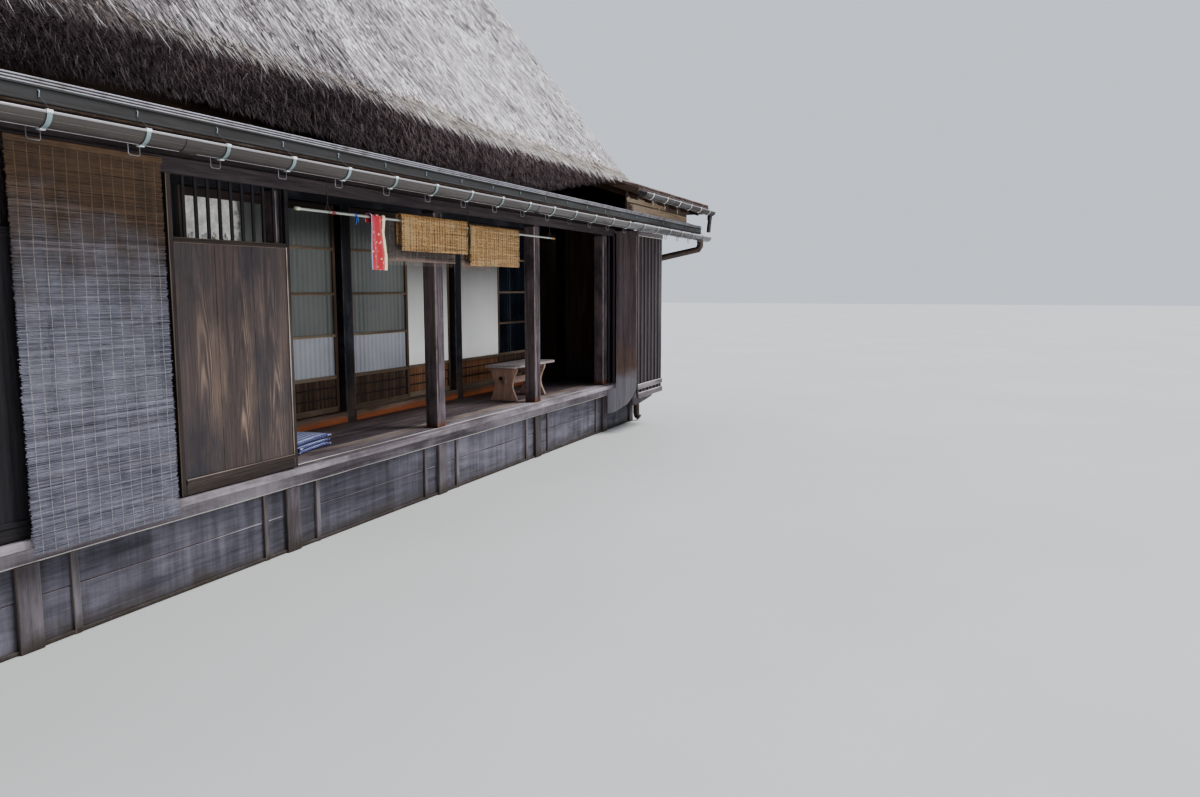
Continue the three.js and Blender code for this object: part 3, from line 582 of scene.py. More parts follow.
# Thatch: a rough body with straws laid and stuck into it
thatch = {
    "voxel": 0.11, "ridgeVoxel": 0.08, "swell": (0.9, 0.07), "tufts": (0.17, 0.045), "rounding": 6,
    "rise": 0.065, "riseAt": 0.55, "riseWide": 1.1, "sag": 0.09, "eave": 2.84, "slope": (0.6247, 0.7809),
    # leftShade is painted shade along x: the straw goes darker towards the left end and paler towards the
    # right
    "near": -2.2, "leftShade": (-1.6, 3.0, -0.36, 0.25)}


def strawMaterial(name, dark, middle, pale):
    # every straw has its own tone, kept in the attribute called tone
    material, coords = newMaterial(name)
    tone = node("ShaderNodeAttribute", attribute_name="tone").outputs["Fac"]
    broad = spread(noise(coords, 1.1, 4, 0.6), 0.3, 0.7, -0.18, 0.18)
    # painted light and shade: the straw is darker towards the left end, which lies in shade, and paler
    # towards the lit right end
    level = plus(plus(tone, broad), spread(split(coords)[0], *thatch["leftShade"]))
    low = mixed(spread(level, 0.0, 0.55), dark, middle)
    shaded(mixed(spread(level, 0.5, 1.05), low, pale), 0.8, more={"Specular IOR Level": 0.25})
    return material


def slopeMaterial(name, dark, middle, pale):
    # straw seen on the slope: fine streaks that run down it on both sides of the ridge
    material, coords = newMaterial(name)
    x, y, z = split(coords)
    y = calc("ABSOLUTE", y)
    flat, steep = thatch["slope"]
    down = minus(times(y, flat), times(z, steep))
    out = plus(times(y, steep), times(z, flat))
    vector = node("ShaderNodeCombineXYZ", {0: x, 1: times(down, 0.07), 2: out}).outputs[0]
    level = timesPlus(noise(vector, 70, 4, 0.7, 0.6), 0.7, times(noise(coords, 1.3, 5, 0.65), 0.3))
    low = mixed(spread(level, 0.36, 0.52), dark, middle)
    shaded(mixed(spread(level, 0.5, 0.66), low, pale), 0.85, level, 0.9, 0.02,
           more={"Specular IOR Level": 0.2})
    return material


def cutMaterial(name, dark, light):
    # the ends of the straw where the thatch is cut
    material, coords = newMaterial(name)
    level = timesPlus(cells(coords, 75.0), 0.6, times(noise(coords, 2.4, 5, 0.65), 0.6))
    shaded(mixed(spread(level, 0.4, 0.85), dark, light), 0.95, level, 1.0, 0.02,
           more={"Specular IOR Level": 0.1})
    return material


slopeStraw = slopeMaterial("thatchSlope", "#322e2f", "#6c6667", "#a8a2a0")
cutStraw = cutMaterial("thatchCut", "#3a3336", "#766a6e")
vergeStraw = cutMaterial("thatchVerge", "#42372e", "#968674")
looseStraw = strawMaterial("strawLoose", "#423d3f", "#9a9496", "#f0ebec")
stubStraw = strawMaterial("strawStubs", "#3a3336", "#5a5053", "#8e8183")
fringeStraw = strawMaterial("strawFringe", "#423a38", "#7c726c", "#cec5bc")
vergeStubs = strawMaterial("strawVerge", "#463a30", "#80705e", "#b8a892")


def makeScatter():
    # geometry nodes that strew copies of a straw over faces, each with a tone of its own
    tree, entry, leave = startGroup(
        "strewnStraws", "GeometryNodeTree",
        [("Geometry", "Geometry", None), ("Straw", "Object", None), ("Density", "Float", None),
         ("Seed", "Int", None), ("Turn", "Vector", None), ("Shortest", "Float", None),
         ("Longest", "Float", None)], [("Geometry", "Geometry")])
    points = node("GeometryNodeDistributePointsOnFaces", {
        "Mesh": entry["Geometry"], "Density": entry["Density"], "Seed": entry["Seed"]}).outputs["Points"]
    tone = node("FunctionNodeRandomValue", {"Seed": 7}, data_type="FLOAT").outputs[1]
    toned = node("GeometryNodeStoreNamedAttribute", {"Geometry": points, "Name": "tone", "Value": tone},
                 data_type="FLOAT", domain="POINT").outputs[0]
    back = vectorCalc("SCALE", {0: entry["Turn"], "Scale": -1.0})[0]
    turn = node("FunctionNodeRandomValue", {"Min": back, "Max": entry["Turn"], "Seed": 3},
                data_type="FLOAT_VECTOR").outputs[0]
    grow = node("FunctionNodeRandomValue", {2: entry["Shortest"], 3: entry["Longest"]}, data_type="FLOAT")
    straw = node("GeometryNodeObjectInfo", {"Object": entry["Straw"]}).outputs["Geometry"]
    laid = node("GeometryNodeInstanceOnPoints", {
        "Points": toned, "Instance": straw, "Rotation": turn, "Scale": grow.outputs[1]}).outputs[0]
    fed(leave, {"Geometry": node("GeometryNodeRealizeInstances", {"Geometry": laid}).outputs[0]})
    return tree


scatter = makeScatter()


def strawModel(way, length, width):
    # one straw: a long three-sided spike that points along way, its origin a quarter up it
    clearSelection()
    bpy.ops.mesh.primitive_cone_add(vertices=3, radius1=width, radius2=0, depth=length)
    straw = bpy.context.object
    for turn in (Matrix.Translation((0, 0, length * 0.25)), Matrix.Diagonal((1, 0.6, 1, 1)),
                 Vector(way).normalized().to_track_quat("Z", "Y").to_matrix().to_4x4()):
        straw.data.transform(turn)
    return straw


def strewn(base, name, straw, count, look, seed, turn, sizes=(0.6, 1.3), slot="thatch_front"):
    area = sum(face.area for face in base.data.polygons)
    only(base)
    modifier = base.modifiers.new("straws", "NODES")
    modifier.node_group = scatter
    values = {"Straw": straw, "Density": count / area, "Seed": seed, "Turn": turn, "Shortest": sizes[0],
              "Longest": sizes[1]}
    for item in scatter.interface.items_tree:
        if item.in_out == "INPUT" and item.name in values:
            modifier[item.identifier] = values[item.name]
    bpy.ops.object.modifier_apply(modifier=modifier.name)
    named(base, name)
    base.data.materials.clear()
    coloured(base, [look])
    bpy.data.objects.remove(straw)
    print(name, len(base.data.polygons), "faces")
    return finished(base, slot, False)


def upFromEave(z, reach):
    # 1 at the eave and below it, falling to 0 at the reach above it
    return max(0.0, 1 - max(0.0, z - thatch["eave"]) / reach)


def thatchBody(source, name, side):
    body = mergedCopy(source, name)
    remeshed(body, thatch["voxel"])
    if side < 0:
        # the eave rises a little where the thatch has been laid thicker
        for vertex in body.data.vertices:
            bow = math.exp(-((vertex.co.x - thatch["riseAt"]) / thatch["riseWide"]) ** 2)
            vertex.co.z += thatch["rise"] * bow * upFromEave(vertex.co.z, 1.2) if vertex.co.y < -4.2 else 0
    applied(body, "SMOOTH", factor=0.5, iterations=thatch["rounding"])
    for vertex in body.data.vertices:
        # the cut underside hangs lower towards the wall
        inward = min(1.0, max(0.0, (5.05 - abs(vertex.co.y)) / 0.6))
        vertex.co.z -= thatch["sag"] * inward * upFromEave(vertex.co.z, 0.4)
    roughened(body, *thatch["swell"])
    roughened(body, *thatch["tufts"])
    coloured(body, (slopeStraw, cutStraw, vergeStraw))
    for face in body.data.polygons:
        if abs(face.normal.x) > 0.7:
            face.material_index = 2
        elif face.normal.z < 0.1:
            face.material_index = 1
    return finished(body, source)


def onSlope(face):
    return face.material_index == 0


def onFringe(face):
    return onSlope(face) and face.center.z < 2.99


def underEave(face):
    low = face.center.z < 3.05 and abs(face.center.y) > 4.15
    return face.material_index == 1 and low and face.normal.z < 0


def chanceOf(face):
    # a fixed number from 0 to 1 for each face, for ragged borders
    return math.sin(face.index * 12.9898) * 43758.5453 % 1


def isNear(face):
    return face.center.x > thatch["near"] + 1.4 * chanceOf(face) and face.center.y < 0


def onNearSlope(face):
    return onSlope(face) and isNear(face) and face.center.z < 5.4 - 2.0 * chanceOf(face)


def underNearEave(face):
    return underEave(face) and isNear(face)


# each row is a name, the faces it grows on, its lean (out, up), length, width, count, look, seed, turn, sizes
strawRows = (
    ("straws", onSlope, (0.60, -0.76), 0.20, 0.0074, 26000, looseStraw, 11, (0.10, 0.12, 0.14), (0.6, 1.3)),
    ("strawsNear", onNearSlope, (0.60, -0.74), 0.15, 0.0048, 32000, looseStraw, 12, (0.14, 0.16, 0.18),
     (0.6, 1.4)),
    ("fringe", onFringe, (0.66, -0.70), 0.11, 0.0046, 10000, fringeStraw, 13, (0.35, 0.3, 0.4), (0.5, 1.5)),
    ("stubs", underEave, (0.45, -0.85), 0.075, 0.0060, 10000, stubStraw, 14, (0.5, 0.5, 0.6), (0.6, 1.3)),
    ("stubsNear", underNearEave, (0.45, -0.85), 0.07, 0.0044, 16000, stubStraw, 17, (0.6, 0.6, 0.7),
     (0.5, 1.5)))
thatchSides = [(thatchBody("thatch_front", "thatchFront", -1), -1, "Front", 1.0),
               (thatchBody("thatch_back", "thatchBack", 1), 1, "Back", 0.5)]
for body, side, label, share in thatchSides:
    slot = "thatch_" + label.lower()
    for name, grows, lean, length, width, count, look, seed, turn, sizes in strawRows:
        if "Near" in name and side > 0:
            continue
        model = strawModel((0, side * lean[0], lean[1]), length, width)
        strewn(facesOf(body, "skin", grows), name + label, model, int(count * share), look, seed, turn,
               sizes, slot)
    for end, hand in ((-1, "Left"), (1, "Right")):
        verge = facesOf(body, "skin", lambda face: face.material_index == 2 and face.normal.x * end > 0)
        strewn(verge, "verge" + label + hand, strawModel((end, side * 0.1, -0.25), 0.08, 0.008), 2500,
               vergeStubs, 15, (0.4, 0.4, 0.5), slot=slot)
print("thatch laid")

# Low metal roofs on the front and the back, with their edge boards and gutters
pent = {"eave": -5.31, "top": 2.50, "slope": 0.22, "half": 7.96, "seam": 0.455, "seams": 35, "first": -7.735,
        "inner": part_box("pent_roof_front")[1][1]}
gutter = {"centre": (-5.372, 2.36), "radius": 0.055, "half": 8.06, "first": -1.27, "step": 0.4475,
          "sleeves": (-6.9, -4.15, -0.62, 2.92, 5.4)}
rustySheet = metal("rustySheet", "#684438", "#4a2c22", 0.75, rough=0.6, streak=(6, 0.9, 6))
edgeMetal = metal("eaveEdge", "#a8a8b0", "#5c5452", 0.3, rough=0.35, metallic=0.3)
fasciaMetal = metal("fasciaMetal", "#262525", "#1e1c1c", 0.5, rough=0.45, streak=(0.6, 6, 6))
gutterMetal = metal("gutterMetal", "#403b38", "#2e2a28", 0.35, rough=0.26, streak=(0.4, 5, 5))
# pale metal for the gutter's rolled rim and low bead: painted highlight lines where they catch the light
rimHighlight = metal("gutterRim", "#a8a3a6", "#78706e", 0.25, 0.25, 0.4, (0.5, 6, 6))
galvanised = metal("galvanised", "#8ea0a4", "#686c6e", 0.35, rough=0.35, metallic=0.5)
darkPipe = metal("darkPipe", "#3a322e", "#5c4232", 0.35, rough=0.5)
wireMetal = metal("wireMetal", "#707074", "#4c4642", 0.4, rough=0.4, metallic=0.4)
clipMetal = metal("clipMetal", "#e2e6e8", "#aaacac", 0.2, rough=0.3, metallic=0.2)
dullMetal = metal("dullMetal", "#585452", "#46342a", 0.5, rough=0.55, metallic=0.3)


def slopeAt(y):
    return pent["top"] + pent["slope"] * (y - pent["eave"])


def pentStrip(corners, half):
    # a strip up the slope; its corners are (y, where the slope is read, height over it)
    return profile([(y, slopeAt(at) + rise) for y, at, rise in corners], -half, half, [rustySheet])


half = pent["half"]
low, high = pent["eave"] + 0.004, pent["inner"] - 0.01
seamLow = low + 0.06
sheet = pentStrip([(low, low, 0.001), (high, high, 0.001), (high, high, 0.005), (low, low, 0.005)], half)
seam = pentStrip([(seamLow, seamLow, 0.004), (high, high, 0.004), (high, high, 0.016),
                  (seamLow + 0.03, seamLow, 0.018)], 0.009)
seams = rowOf(seam, [round(pent["first"] + pent["seam"] * i, 3) for i in range(pent["seams"])])
onBothSides(joined("pentSheetFront", [sheet] + seams), ("pent_roof_front", "pent_roof_back"))

edge = pent["eave"] - 0.002
parts = [block((-half, edge - reach, z0), (half, edge + 0.002, z1), [fasciaMetal], bevel)
         for reach, z0, z1, bevel in ((0.004, 2.412, 2.470, 0.001), (0.012, 2.408, 2.420, 0.003),
                                      (0.012, 2.464, 2.474, 0.002))]
parts += [block((-half, edge - reach, z - 0.003), (half, edge + 0.004, z + 0.003), [edgeMetal], 0.0015)
          for reach, z in ((0.010, 2.4765), (0.013, 2.4875), (0.016, 2.4985))]
onBothSides(joined("fasciaFront", parts), ("pent_roof_front", "pent_roof_back"))


def gutterRun(name, place, start, end, look, straps, strapLook, sleeves=()):
    # a half round gutter with its end caps and sleeves, and the row of straps that hold it
    centre, radius = place["centre"], place["radius"]
    y, z = centre
    rim = y - radius
    # the rim and the bead at 262 degrees take the pale rim metal: painted highlight lines along the gutter
    parts = [channel(centre, radius, start, end, look, 180, 352),
             tube([(start, rim, z), (end, rim, z)], radius * 0.11, rimHighlight)]
    for angle, wide, bead in ((214, 0.05, look), (262, 0.035, rimHighlight)):
        at = ringPoint(centre, radius * 1.01, angle)
        parts.append(tube([(start, *at), (end, *at)], radius * wide, bead, 6))
    for x in (start, end - 0.004):
        cap = [ringPoint(centre, radius, angle) for angle in range(180, 361, 15)]
        parts.append(profile(cap, x, x + 0.004, [look]))
    parts += [channel(centre, radius + 0.003, x, x + 0.09, look, 178, 350) for x in sleeves]
    strap = [channel(centre, radius + 0.0045, -0.011, 0.011, strapLook, 176, 296, 9),
             block((-0.013, rim - 0.0085, z - 0.004), (0.013, rim + 0.008, z + 0.0095), [clipMetal], 0.003),
             block((-0.012, y - 0.016, z - radius - 0.0085), (0.012, y + 0.004, z - radius - 0.0035),
                   [clipMetal], 0.001),
             channel(centre, radius - 0.004, -0.008, 0.008, strapLook, 184, 200, 2)]
    return joined(name, parts), rowOf(joined("strap", strap), straps)


strapPlaces = [round(gutter["first"] + gutter["step"] * k, 4) for k in range(-15, 21)]
gutterFront, straps = gutterRun("gutterFront", gutter, -gutter["half"], gutter["half"], gutterMetal,
                                strapPlaces, galvanised, gutter["sleeves"])
hook = joined("hook", [
    tube([(0.046, -5.309, 2.462), (0.046, -5.322, 2.452), (0.046, -5.318, 2.430)], 0.0028, galvanised, 6),
    tube([(0.048, -5.318, 2.436), (0.043, -5.350, 2.406), (0.039, -5.372, 2.390)], 0.0014, wireMetal, 6),
    tube([(0.039, -5.372, 2.390), (0.020, -5.400, 2.374), (0.008, -5.424, 2.366)], 0.0014, wireMetal, 6),
    tube([(-0.058, -5.372, 2.302), (-0.058, -5.372, 2.266), (-0.052, -5.372, 2.258), (-0.006, -5.372, 2.258),
          (0.0, -5.372, 2.266), (0.0, -5.372, 2.302)], 0.0026, wireMetal, 6)])
onBothSides(joined("gutterStrapsFront", straps + rowOf(hook, strapPlaces)), ("gutter_front", "gutter_back"))
onBothSides(gutterFront, ("gutter_front", "gutter_back"), True)
print("low roofs and gutters made")

# Veranda: floor boards, the beam along its edge and the ledge the rain doors slide on
veranda = {"front": -4.49, "back": -3.70, "half": 7.34, "under": 0.522, "top": 0.56, "boards": 6,
           "length": 3.64, "gap": 0.003, "warp": 0.0015}
floorWood = wood("verandaBoards", 0, "#2e282c", "#706368", "#8a7c7c", 0.32, 1.4,
                 rough=0.5, fibre=(0.8, 30), relief=0.35)
frontBoardWood = wood("verandaFrontBoard", 0, "#2e282a", "#746563", "#a6968e", 0.5,
                      2.6, rough=0.6, relief=0.5)
edgeBeamWood = wood("edgeBeam", 0, "#383235", "#82787d", "#a69ea4", 0.42, 2.6,
                    fibre=(0.7, 26), relief=0.6, stains=0.25)
baseWood = wood("baseBoards", 0, "#2e2c32", "#66636d", "#86828e", 0.42, 1.8,
                fibre=(0.7, 16), relief=0.6, low=("#46403c", 0.05, 0.12), stains=0.5)
basePostWood = wood("basePosts", 2, "#2e282a", "#62595b", "#827c82", 0.4, 2.2,
                    low=("#423a34", 0.06, 0.1), stains=0.3)

parts = []
random.seed(4)
half = veranda["half"]
step = (veranda["back"] - veranda["front"]) / veranda["boards"]
for row in range(veranda["boards"]):
    start = -half
    while start < half - 0.04:
        end = min(half, start + veranda["length"] * (0.6 if row % 2 and start < -7 else 1))
        y = veranda["front"] + step * row
        rise = random.uniform(-veranda["warp"], veranda["warp"])
        parts.append(block((start + 0.002, y + veranda["gap"] / 2, veranda["under"] + rise),
                           (end - 0.002, y + step - veranda["gap"] / 2, veranda["top"] + rise),
                           [floorWood if row else frontBoardWood], 0.003, 10, 0.0016))
        start = end
parts.append(block((-half, -4.612, 0.421), (half, -4.49, 0.561), [edgeBeamWood, edgeX], 0.008, 40, 0.006))
ledge = [(-4.70, 0.521), (-4.612, 0.521), (-4.612, 0.560), (-4.638, 0.560), (-4.638, 0.553), (-4.672, 0.553),
         (-4.672, 0.560), (-4.696, 0.560), (-4.70, 0.556)]
parts.append(profile(ledge, -6.42, 6.42, [edgeBeamWood]))
finished(joined("verandaBoards", parts), "veranda")

# Boarded base below the floor, with short posts and battens
base = {"face": -4.572, "posts": (-7.28, -6.37, -4.55, -2.73, -0.91, 0.91, 2.73, 4.55, 6.37, 7.28)}
postLooks = [basePostWood, darkEdgeZ]
boardLooks = [baseWood, edgeBeamWood]
face = base["face"]
parts = []
for left, right in zip(base["posts"], base["posts"][1:]):
    a, b = left + 0.06, right - 0.06
    parts += blocks(boardLooks, 0.004, [(a, face - 0.012, 0.018, b, face + 0.006, 0.246),
                                        (a, face - 0.014, 0.249, b, face + 0.006, 0.419)], 6, 0.004)
    parts.append(block((a, face - 0.026, 0.001), (b, face + 0.006, 0.022), [basePostWood], 0.004))
    if b - a > 1:
        parts += blocks(postLooks, 0.004, [(x, face - 0.03, 0.002, x + 0.042, face, 0.419)
                                           for x in (a + 0.17, b - 0.2)], 4, 0.003)
for x in base["posts"]:
    wide = 0.062 if abs(x) < 7.2 else 0.058
    parts.append(block((x - wide, face - 0.04, 0.0), (x + wide, face, 0.42), postLooks, 0.006, 5, 0.005))
onBothSides(joined("baseFront", parts), ("skirt_front", "skirt_back"))
print("veranda and base made")

# Rain door: three boards in a frame with an open lattice above
low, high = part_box("rain_door")
rain = {"x": (low[0], high[0]), "y": (-4.67, -4.64), "z": (0.565, 2.323), "light": (1.980, 2.311), "bars": 9,
        "stile": 0.034, "boards": 3, "flame": (0.50, 1.22)}
rain["board"] = (high[0] - low[0] - 2 * rain["stile"]) / rain["boards"]
rainFrame = wood("rainDoorFrame", 2, "#1a1515", "#403632", "#5c524e", 0.2)
latticeWood = wood("rainDoorLattice", 2, "#100e12", "#2a2528", "#383234", 0.15)
rainRail = wood("rainDoorRails", 0, "#1c1716", "#423732", "#605650", 0.2)
rainEdge = wood("rainDoorEdge", 2, "#46372f", "#b4a08d", "#c8bcae", 0.4, contrast=0.8)


def rainBoardMaterial():
    # dark boards with nested flames of tan grain, strongest low in the middle of the door
    material, coords = newMaterial("rainDoorBoards")
    x, y, z = split(coords)
    place = calc("DIVIDE", minus(x, rain["x"][0] + rain["stile"]), rain["board"])
    tone = boardTone(place, 1.0, 0.25)
    bend = noise(stretched(coords, (5, 5, 1.3)), 1.0, 3, 0.55)
    side = plus(minus(calc("FRACT", place), 0.74), times(bend, 0.44))
    arch = timesPlus(times(side, side), 62.0, timesPlus(z, 3.4, tone["Shift"]))
    rings = calc("SINE", times(arch, 2 * math.pi))
    fibres = grained(stretched(coords, (46, 46, 1.3)), "#241e1e", "#5e4e49")
    sideways, upward = (calc("ABSOLUTE", minus(value, at)) for value, at in zip((x, z), rain["flame"]))
    near = times(spread(sideways, 0.05, 0.46, 1.0, 0.06), spread(upward, 0.1, 0.62, 1, 0.08))
    patch = spread(noise(stretched(coords, (8, 8, 1.5)), 1.0, 4, 0.6), 0.42, 0.60)
    worn = times(times(spread(rings, -0.1, 0.9, 0.12, 1.0), near), patch)
    worn = times(worn, timesPlus(fibres["Height"], 0.8, 0.4))
    colour = mixed(times(spread(rings, -0.6, -1.0), 0.35), fibres["Color"], "#181416")
    colour = mixed(times(worn, 1.1), colour, "#a88e7a")
    colour = mixed(1.0, colour, tone["Color"], "MULTIPLY")
    colour = weathered(colour, "#28262c", stretched(coords, (1, 1, 0.4)), 3.4, 0.42)["Color"]
    shaded(colour, spread(fibres["Height"], 0, 1, 0.75, 0.5), fibres["Height"], 0.6, 0.004)
    return material


def paneMaterial(name, colour, other, rough):
    # old glass with something behind it
    material, coords = newMaterial(name)
    cloud = spread(noise(coords, 5.0, 4, 0.6), 0.35, 0.65)
    shaded(mixed(cloud, colour, other), rough, cloud, 0.1, 0.002,
           more={"Coat Weight": 0.6, "Coat Roughness": 0.08})
    return material


rainBoards = rainBoardMaterial()
x0, x1 = rain["x"]
y0, y1 = rain["y"]
z0, z1 = rain["z"]
a, b = x0 + rain["stile"], x1 - rain["stile"]
lightLow, lightTop = rain["light"]
railLooks = [rainRail, darkEdgeX]
parts = blocks([rainFrame, darkEdgeZ], 0.004, [(x0, y0, z0, a, y1, z1)])
parts += blocks([latticeWood], 0.004, [(b, y0, lightLow - 0.02, x1, y1, z1)])
parts.append(block((b, y0, z0), (x1, y1, lightLow - 0.021), [rainFrame, rainEdge], 0.005, 12, 0.002))
parts += blocks([latticeWood], 0.002, [(a, y0 + 0.001, lightTop, b, y1, z1)])
parts += blocks(railLooks, 0.004, [(a, y0 + 0.001, lightLow - 0.030, b, y1, lightLow),
                                   (a, y0 + 0.001, z0, b, y1, z0 + 0.075),
                                   (a, y0 - 0.004, z0 + 0.060, b, y1 - 0.01, z0 + 0.088)])
for i in range(rain["boards"]):
    left = a + rain["board"] * i
    parts.append(block((left + 0.0008, y0 + 0.008, z0 + 0.07),
                       (left + rain["board"] - 0.0008, y0 + 0.018, lightLow - 0.02), [rainBoards], 0.002, 6,
                       0.0012))
bar = block((-0.011, y0 + 0.006, lightLow - 0.004), (0.011, y0 + 0.019, lightTop + 0.004), [latticeWood],
            0.003)
parts += rowOf(bar, [a + (b - a) * (i + 1) / (rain["bars"] + 1) for i in range(rain["bars"])])
rainDoor = finished(joined("rainDoor", parts), "rain_door", body="rain_door")
print("rain door made")

# Reed blind: thin strips tied by upright strings, brown above and grey below
low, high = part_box("reed_blind")
blind = {"x": (low[0] + 0.010, high[0] - 0.010), "y": -4.726, "z": (0.49, 2.36), "pitch": 0.0041,
         "strings": 13, "faded": (1.84, 0.5)}
reed, coords = newMaterial("reedBlind")
level = noise(stretched(coords, (1.6, 1, 250)), 1.0, 2, 0.6)
patches = noise(stretched(coords, (9, 1, 4)), 1.0, 5, 0.7)
strips = boardTone(split(coords)[2], blind["pitch"], 1.0)
fine = noise(stretched(coords, (14, 1, 300)), 1.0, 3, 0.7)
level = timesPlus(level, 0.32, timesPlus(patches, 0.26, times(fine, 0.34)))
level = timesPlus(strips["Shift"], 0.014, level)
grey = mixed(spread(level, 0.38, 0.62), "#2e2f37", "#80808c")
brown = mixed(spread(level, 0.38, 0.62), "#221912", "#5a4430")
shaded(faded(grey, brown, coords, *blind["faded"]), 0.7, level, 0.4, 0.002)
string, coords = newMaterial("blindString")
pale = mixed(spread(noise(coords, 60, 2), 0.3, 0.7), "#96908e", "#cec9c6")
shaded(faded(pale, "#806e58", coords, *blind["faded"]), 0.9)

random.seed(21)
x0, x1 = blind["x"]
bottom, top = blind["z"]
strip = block((x0, -0.0008, -0.0016), (x1, 0.0008, 0.0016), [reed], 0, 5)
strips = []
z = bottom
while z < top:
    turn = turnedAbout(((x0 + x1) / 2, 0, 0), "Y", random.gauss(0, 0.06))
    slat = copyOf(strip, turn=turn @ Matrix.Diagonal((1, 1, random.uniform(0.75, 1.2), 1)))
    bow = [random.gauss(0, 0.0005) for i in range(9)]
    for vertex in slat.data.vertices:
        along = round((vertex.co.x - x0) / (x1 - x0) * 8)
        vertex.co.z += bow[along]
        vertex.co.y += bow[(along + 3) % 9] * 1.6
    slat.data.transform(Matrix.Translation((random.gauss(0, 0.004), blind["y"], z)))
    strips.append(slat)
    z += blind["pitch"] * random.uniform(0.94, 1.06)
bpy.data.objects.remove(strip)
parts = [joined("slats", strips),
         block((x0 - 0.005, blind["y"] - 0.008, 2.345), (x1 + 0.005, blind["y"] + 0.006, 2.378), [reed],
               0.003, 6, 0.002)]
for i in range(blind["strings"]):
    x = x0 + 0.045 + (x1 - x0 - 0.09) * i / (blind["strings"] - 1)
    # the string runs before one strip and behind the next
    path = [(x + math.sin(k * 0.05 + i) * 0.002, blind["y"] + (0.0024 if k % 2 else -0.0030),
             bottom + k * blind["pitch"]) for k in range(int((top - bottom) / blind["pitch"]))]
    parts.append(tube(path, 0.0015, string, 4))
finished(joined("reedBlind", parts), "reed_blind")
print("reed blind made")

# Inner doors on two tracks behind the veranda: glazed ones and paper ones
inner = {"stile": 0.034, "bars": (1.305, 1.657, 2.03), "rib": 0.06, "slat": 0.0125, "middle": (0.938, 0.966),
         "ledges": (0.775, 0.865), "glare": (1.52, 2.05)}
doorWoodZ = wood("innerDoorStiles", 2, "#322823", "#6c584a", "#827262", 0.3)
doorWoodX = wood("innerDoorRails", 0, "#3a3029", "#7a6756", "#928270", 0.35)
doorEdge = wood("innerDoorEdges", 0, "#56483c", "#96826e", "#a69684", 0.4)


def curtainMaterial(name, glare=None):
    # ribbed cloth behind glass, with its pale part below the first bar;
    # glare is (x, z) of a corner pane's pale mottled part
    material, coords = newMaterial(name)
    x, y, z = split(coords)
    rib = calc("SINE", times(x, 2 * math.pi / inner["rib"]))
    cloud = noise(coords, 3.5, 4, 0.6)
    colour = faded("#989aa0", "#5a5d59", coords, inner["bars"][0], 0.02)
    colour = lit(colour, timesPlus(rib, 0.10, timesPlus(cloud, 0.5, 0.74)))
    if glare:
        mottle = noise(coords, 16, 5, 0.7)
        bent = times(minus(mottle, 0.5), 0.3)
        inside = times(spread(plus(x, bent), glare[0] + 0.03, glare[0] - 0.03),
                       spread(plus(z, bent), glare[1] - 0.02, glare[1] + 0.02))
        bright = mixed(spread(mottle, 0.35, 0.65), "#c4c2be", "#faf8f4")
        colour = mixed(inside, colour, bright)
    shaded(colour, 0.45, cloud, 0.08, 0.002, more={"Coat Weight": 0.35, "Coat Roughness": 0.06})
    return material


def paperMaterial(name, colour, lines, eaveShade=None):
    # paper on a lattice that shows through as faint upright lines; eaveShade is (low, high, darkest level) of
    # a painted shadow from the eave
    material, coords = newMaterial(name)
    line = calc("ABSOLUTE", calc("SINE", times(split(coords)[0], math.pi / lines)))
    shadow = spread(line, 0.0, 0.10, 0.90, 1.0)
    cloud = spread(noise(coords, 2.2, 4, 0.6), 0.3, 0.7, 0.93, 1.03)
    fibres = spread(noise(coords, 90, 3, 0.7), 0.3, 0.7, 0.98, 1.02)
    level = times(times(shadow, cloud), fibres)
    if eaveShade:
        # painted shade: the paper is darker towards the top of the door, in the eave's shadow
        level = times(level, spread(split(coords)[2], eaveShade[0], eaveShade[1], 1.0, eaveShade[2]))
    shaded(lit(colour, level), 0.9, fibres, 0.2, 0.001, more={"Specular IOR Level": 0.2})
    return material


curtain = curtainMaterial("curtainBehindGlass")
cornerCurtain = curtainMaterial("curtainAtCorner", inner["glare"])
darkGlass = paneMaterial("darkGlass", "#10141a", "#222a36", 0.1)
# the last numbers paint the eave's shadow on the shoji paper, which darkens strongly towards the top of the
# door
paper = paperMaterial("shojiPaper", "#faf8f5", 0.142, (1.10, 2.10, 0.02))
darkBamboo = wood("darkBamboo", 2, "#221a16", "#624c3c", "#746050", 0.3,
                  boards=(0, inner["slat"]), tones=0.9)
warmBamboo = wood("warmBamboo", 2, "#4c3224", "#986a4a", "#98785c", 0.3,
                  boards=(0, inner["slat"]), tones=0.7)
panelRail = wood("panelRails", 0, "#1e191a", "#463a34", "#584e48", 0.2)


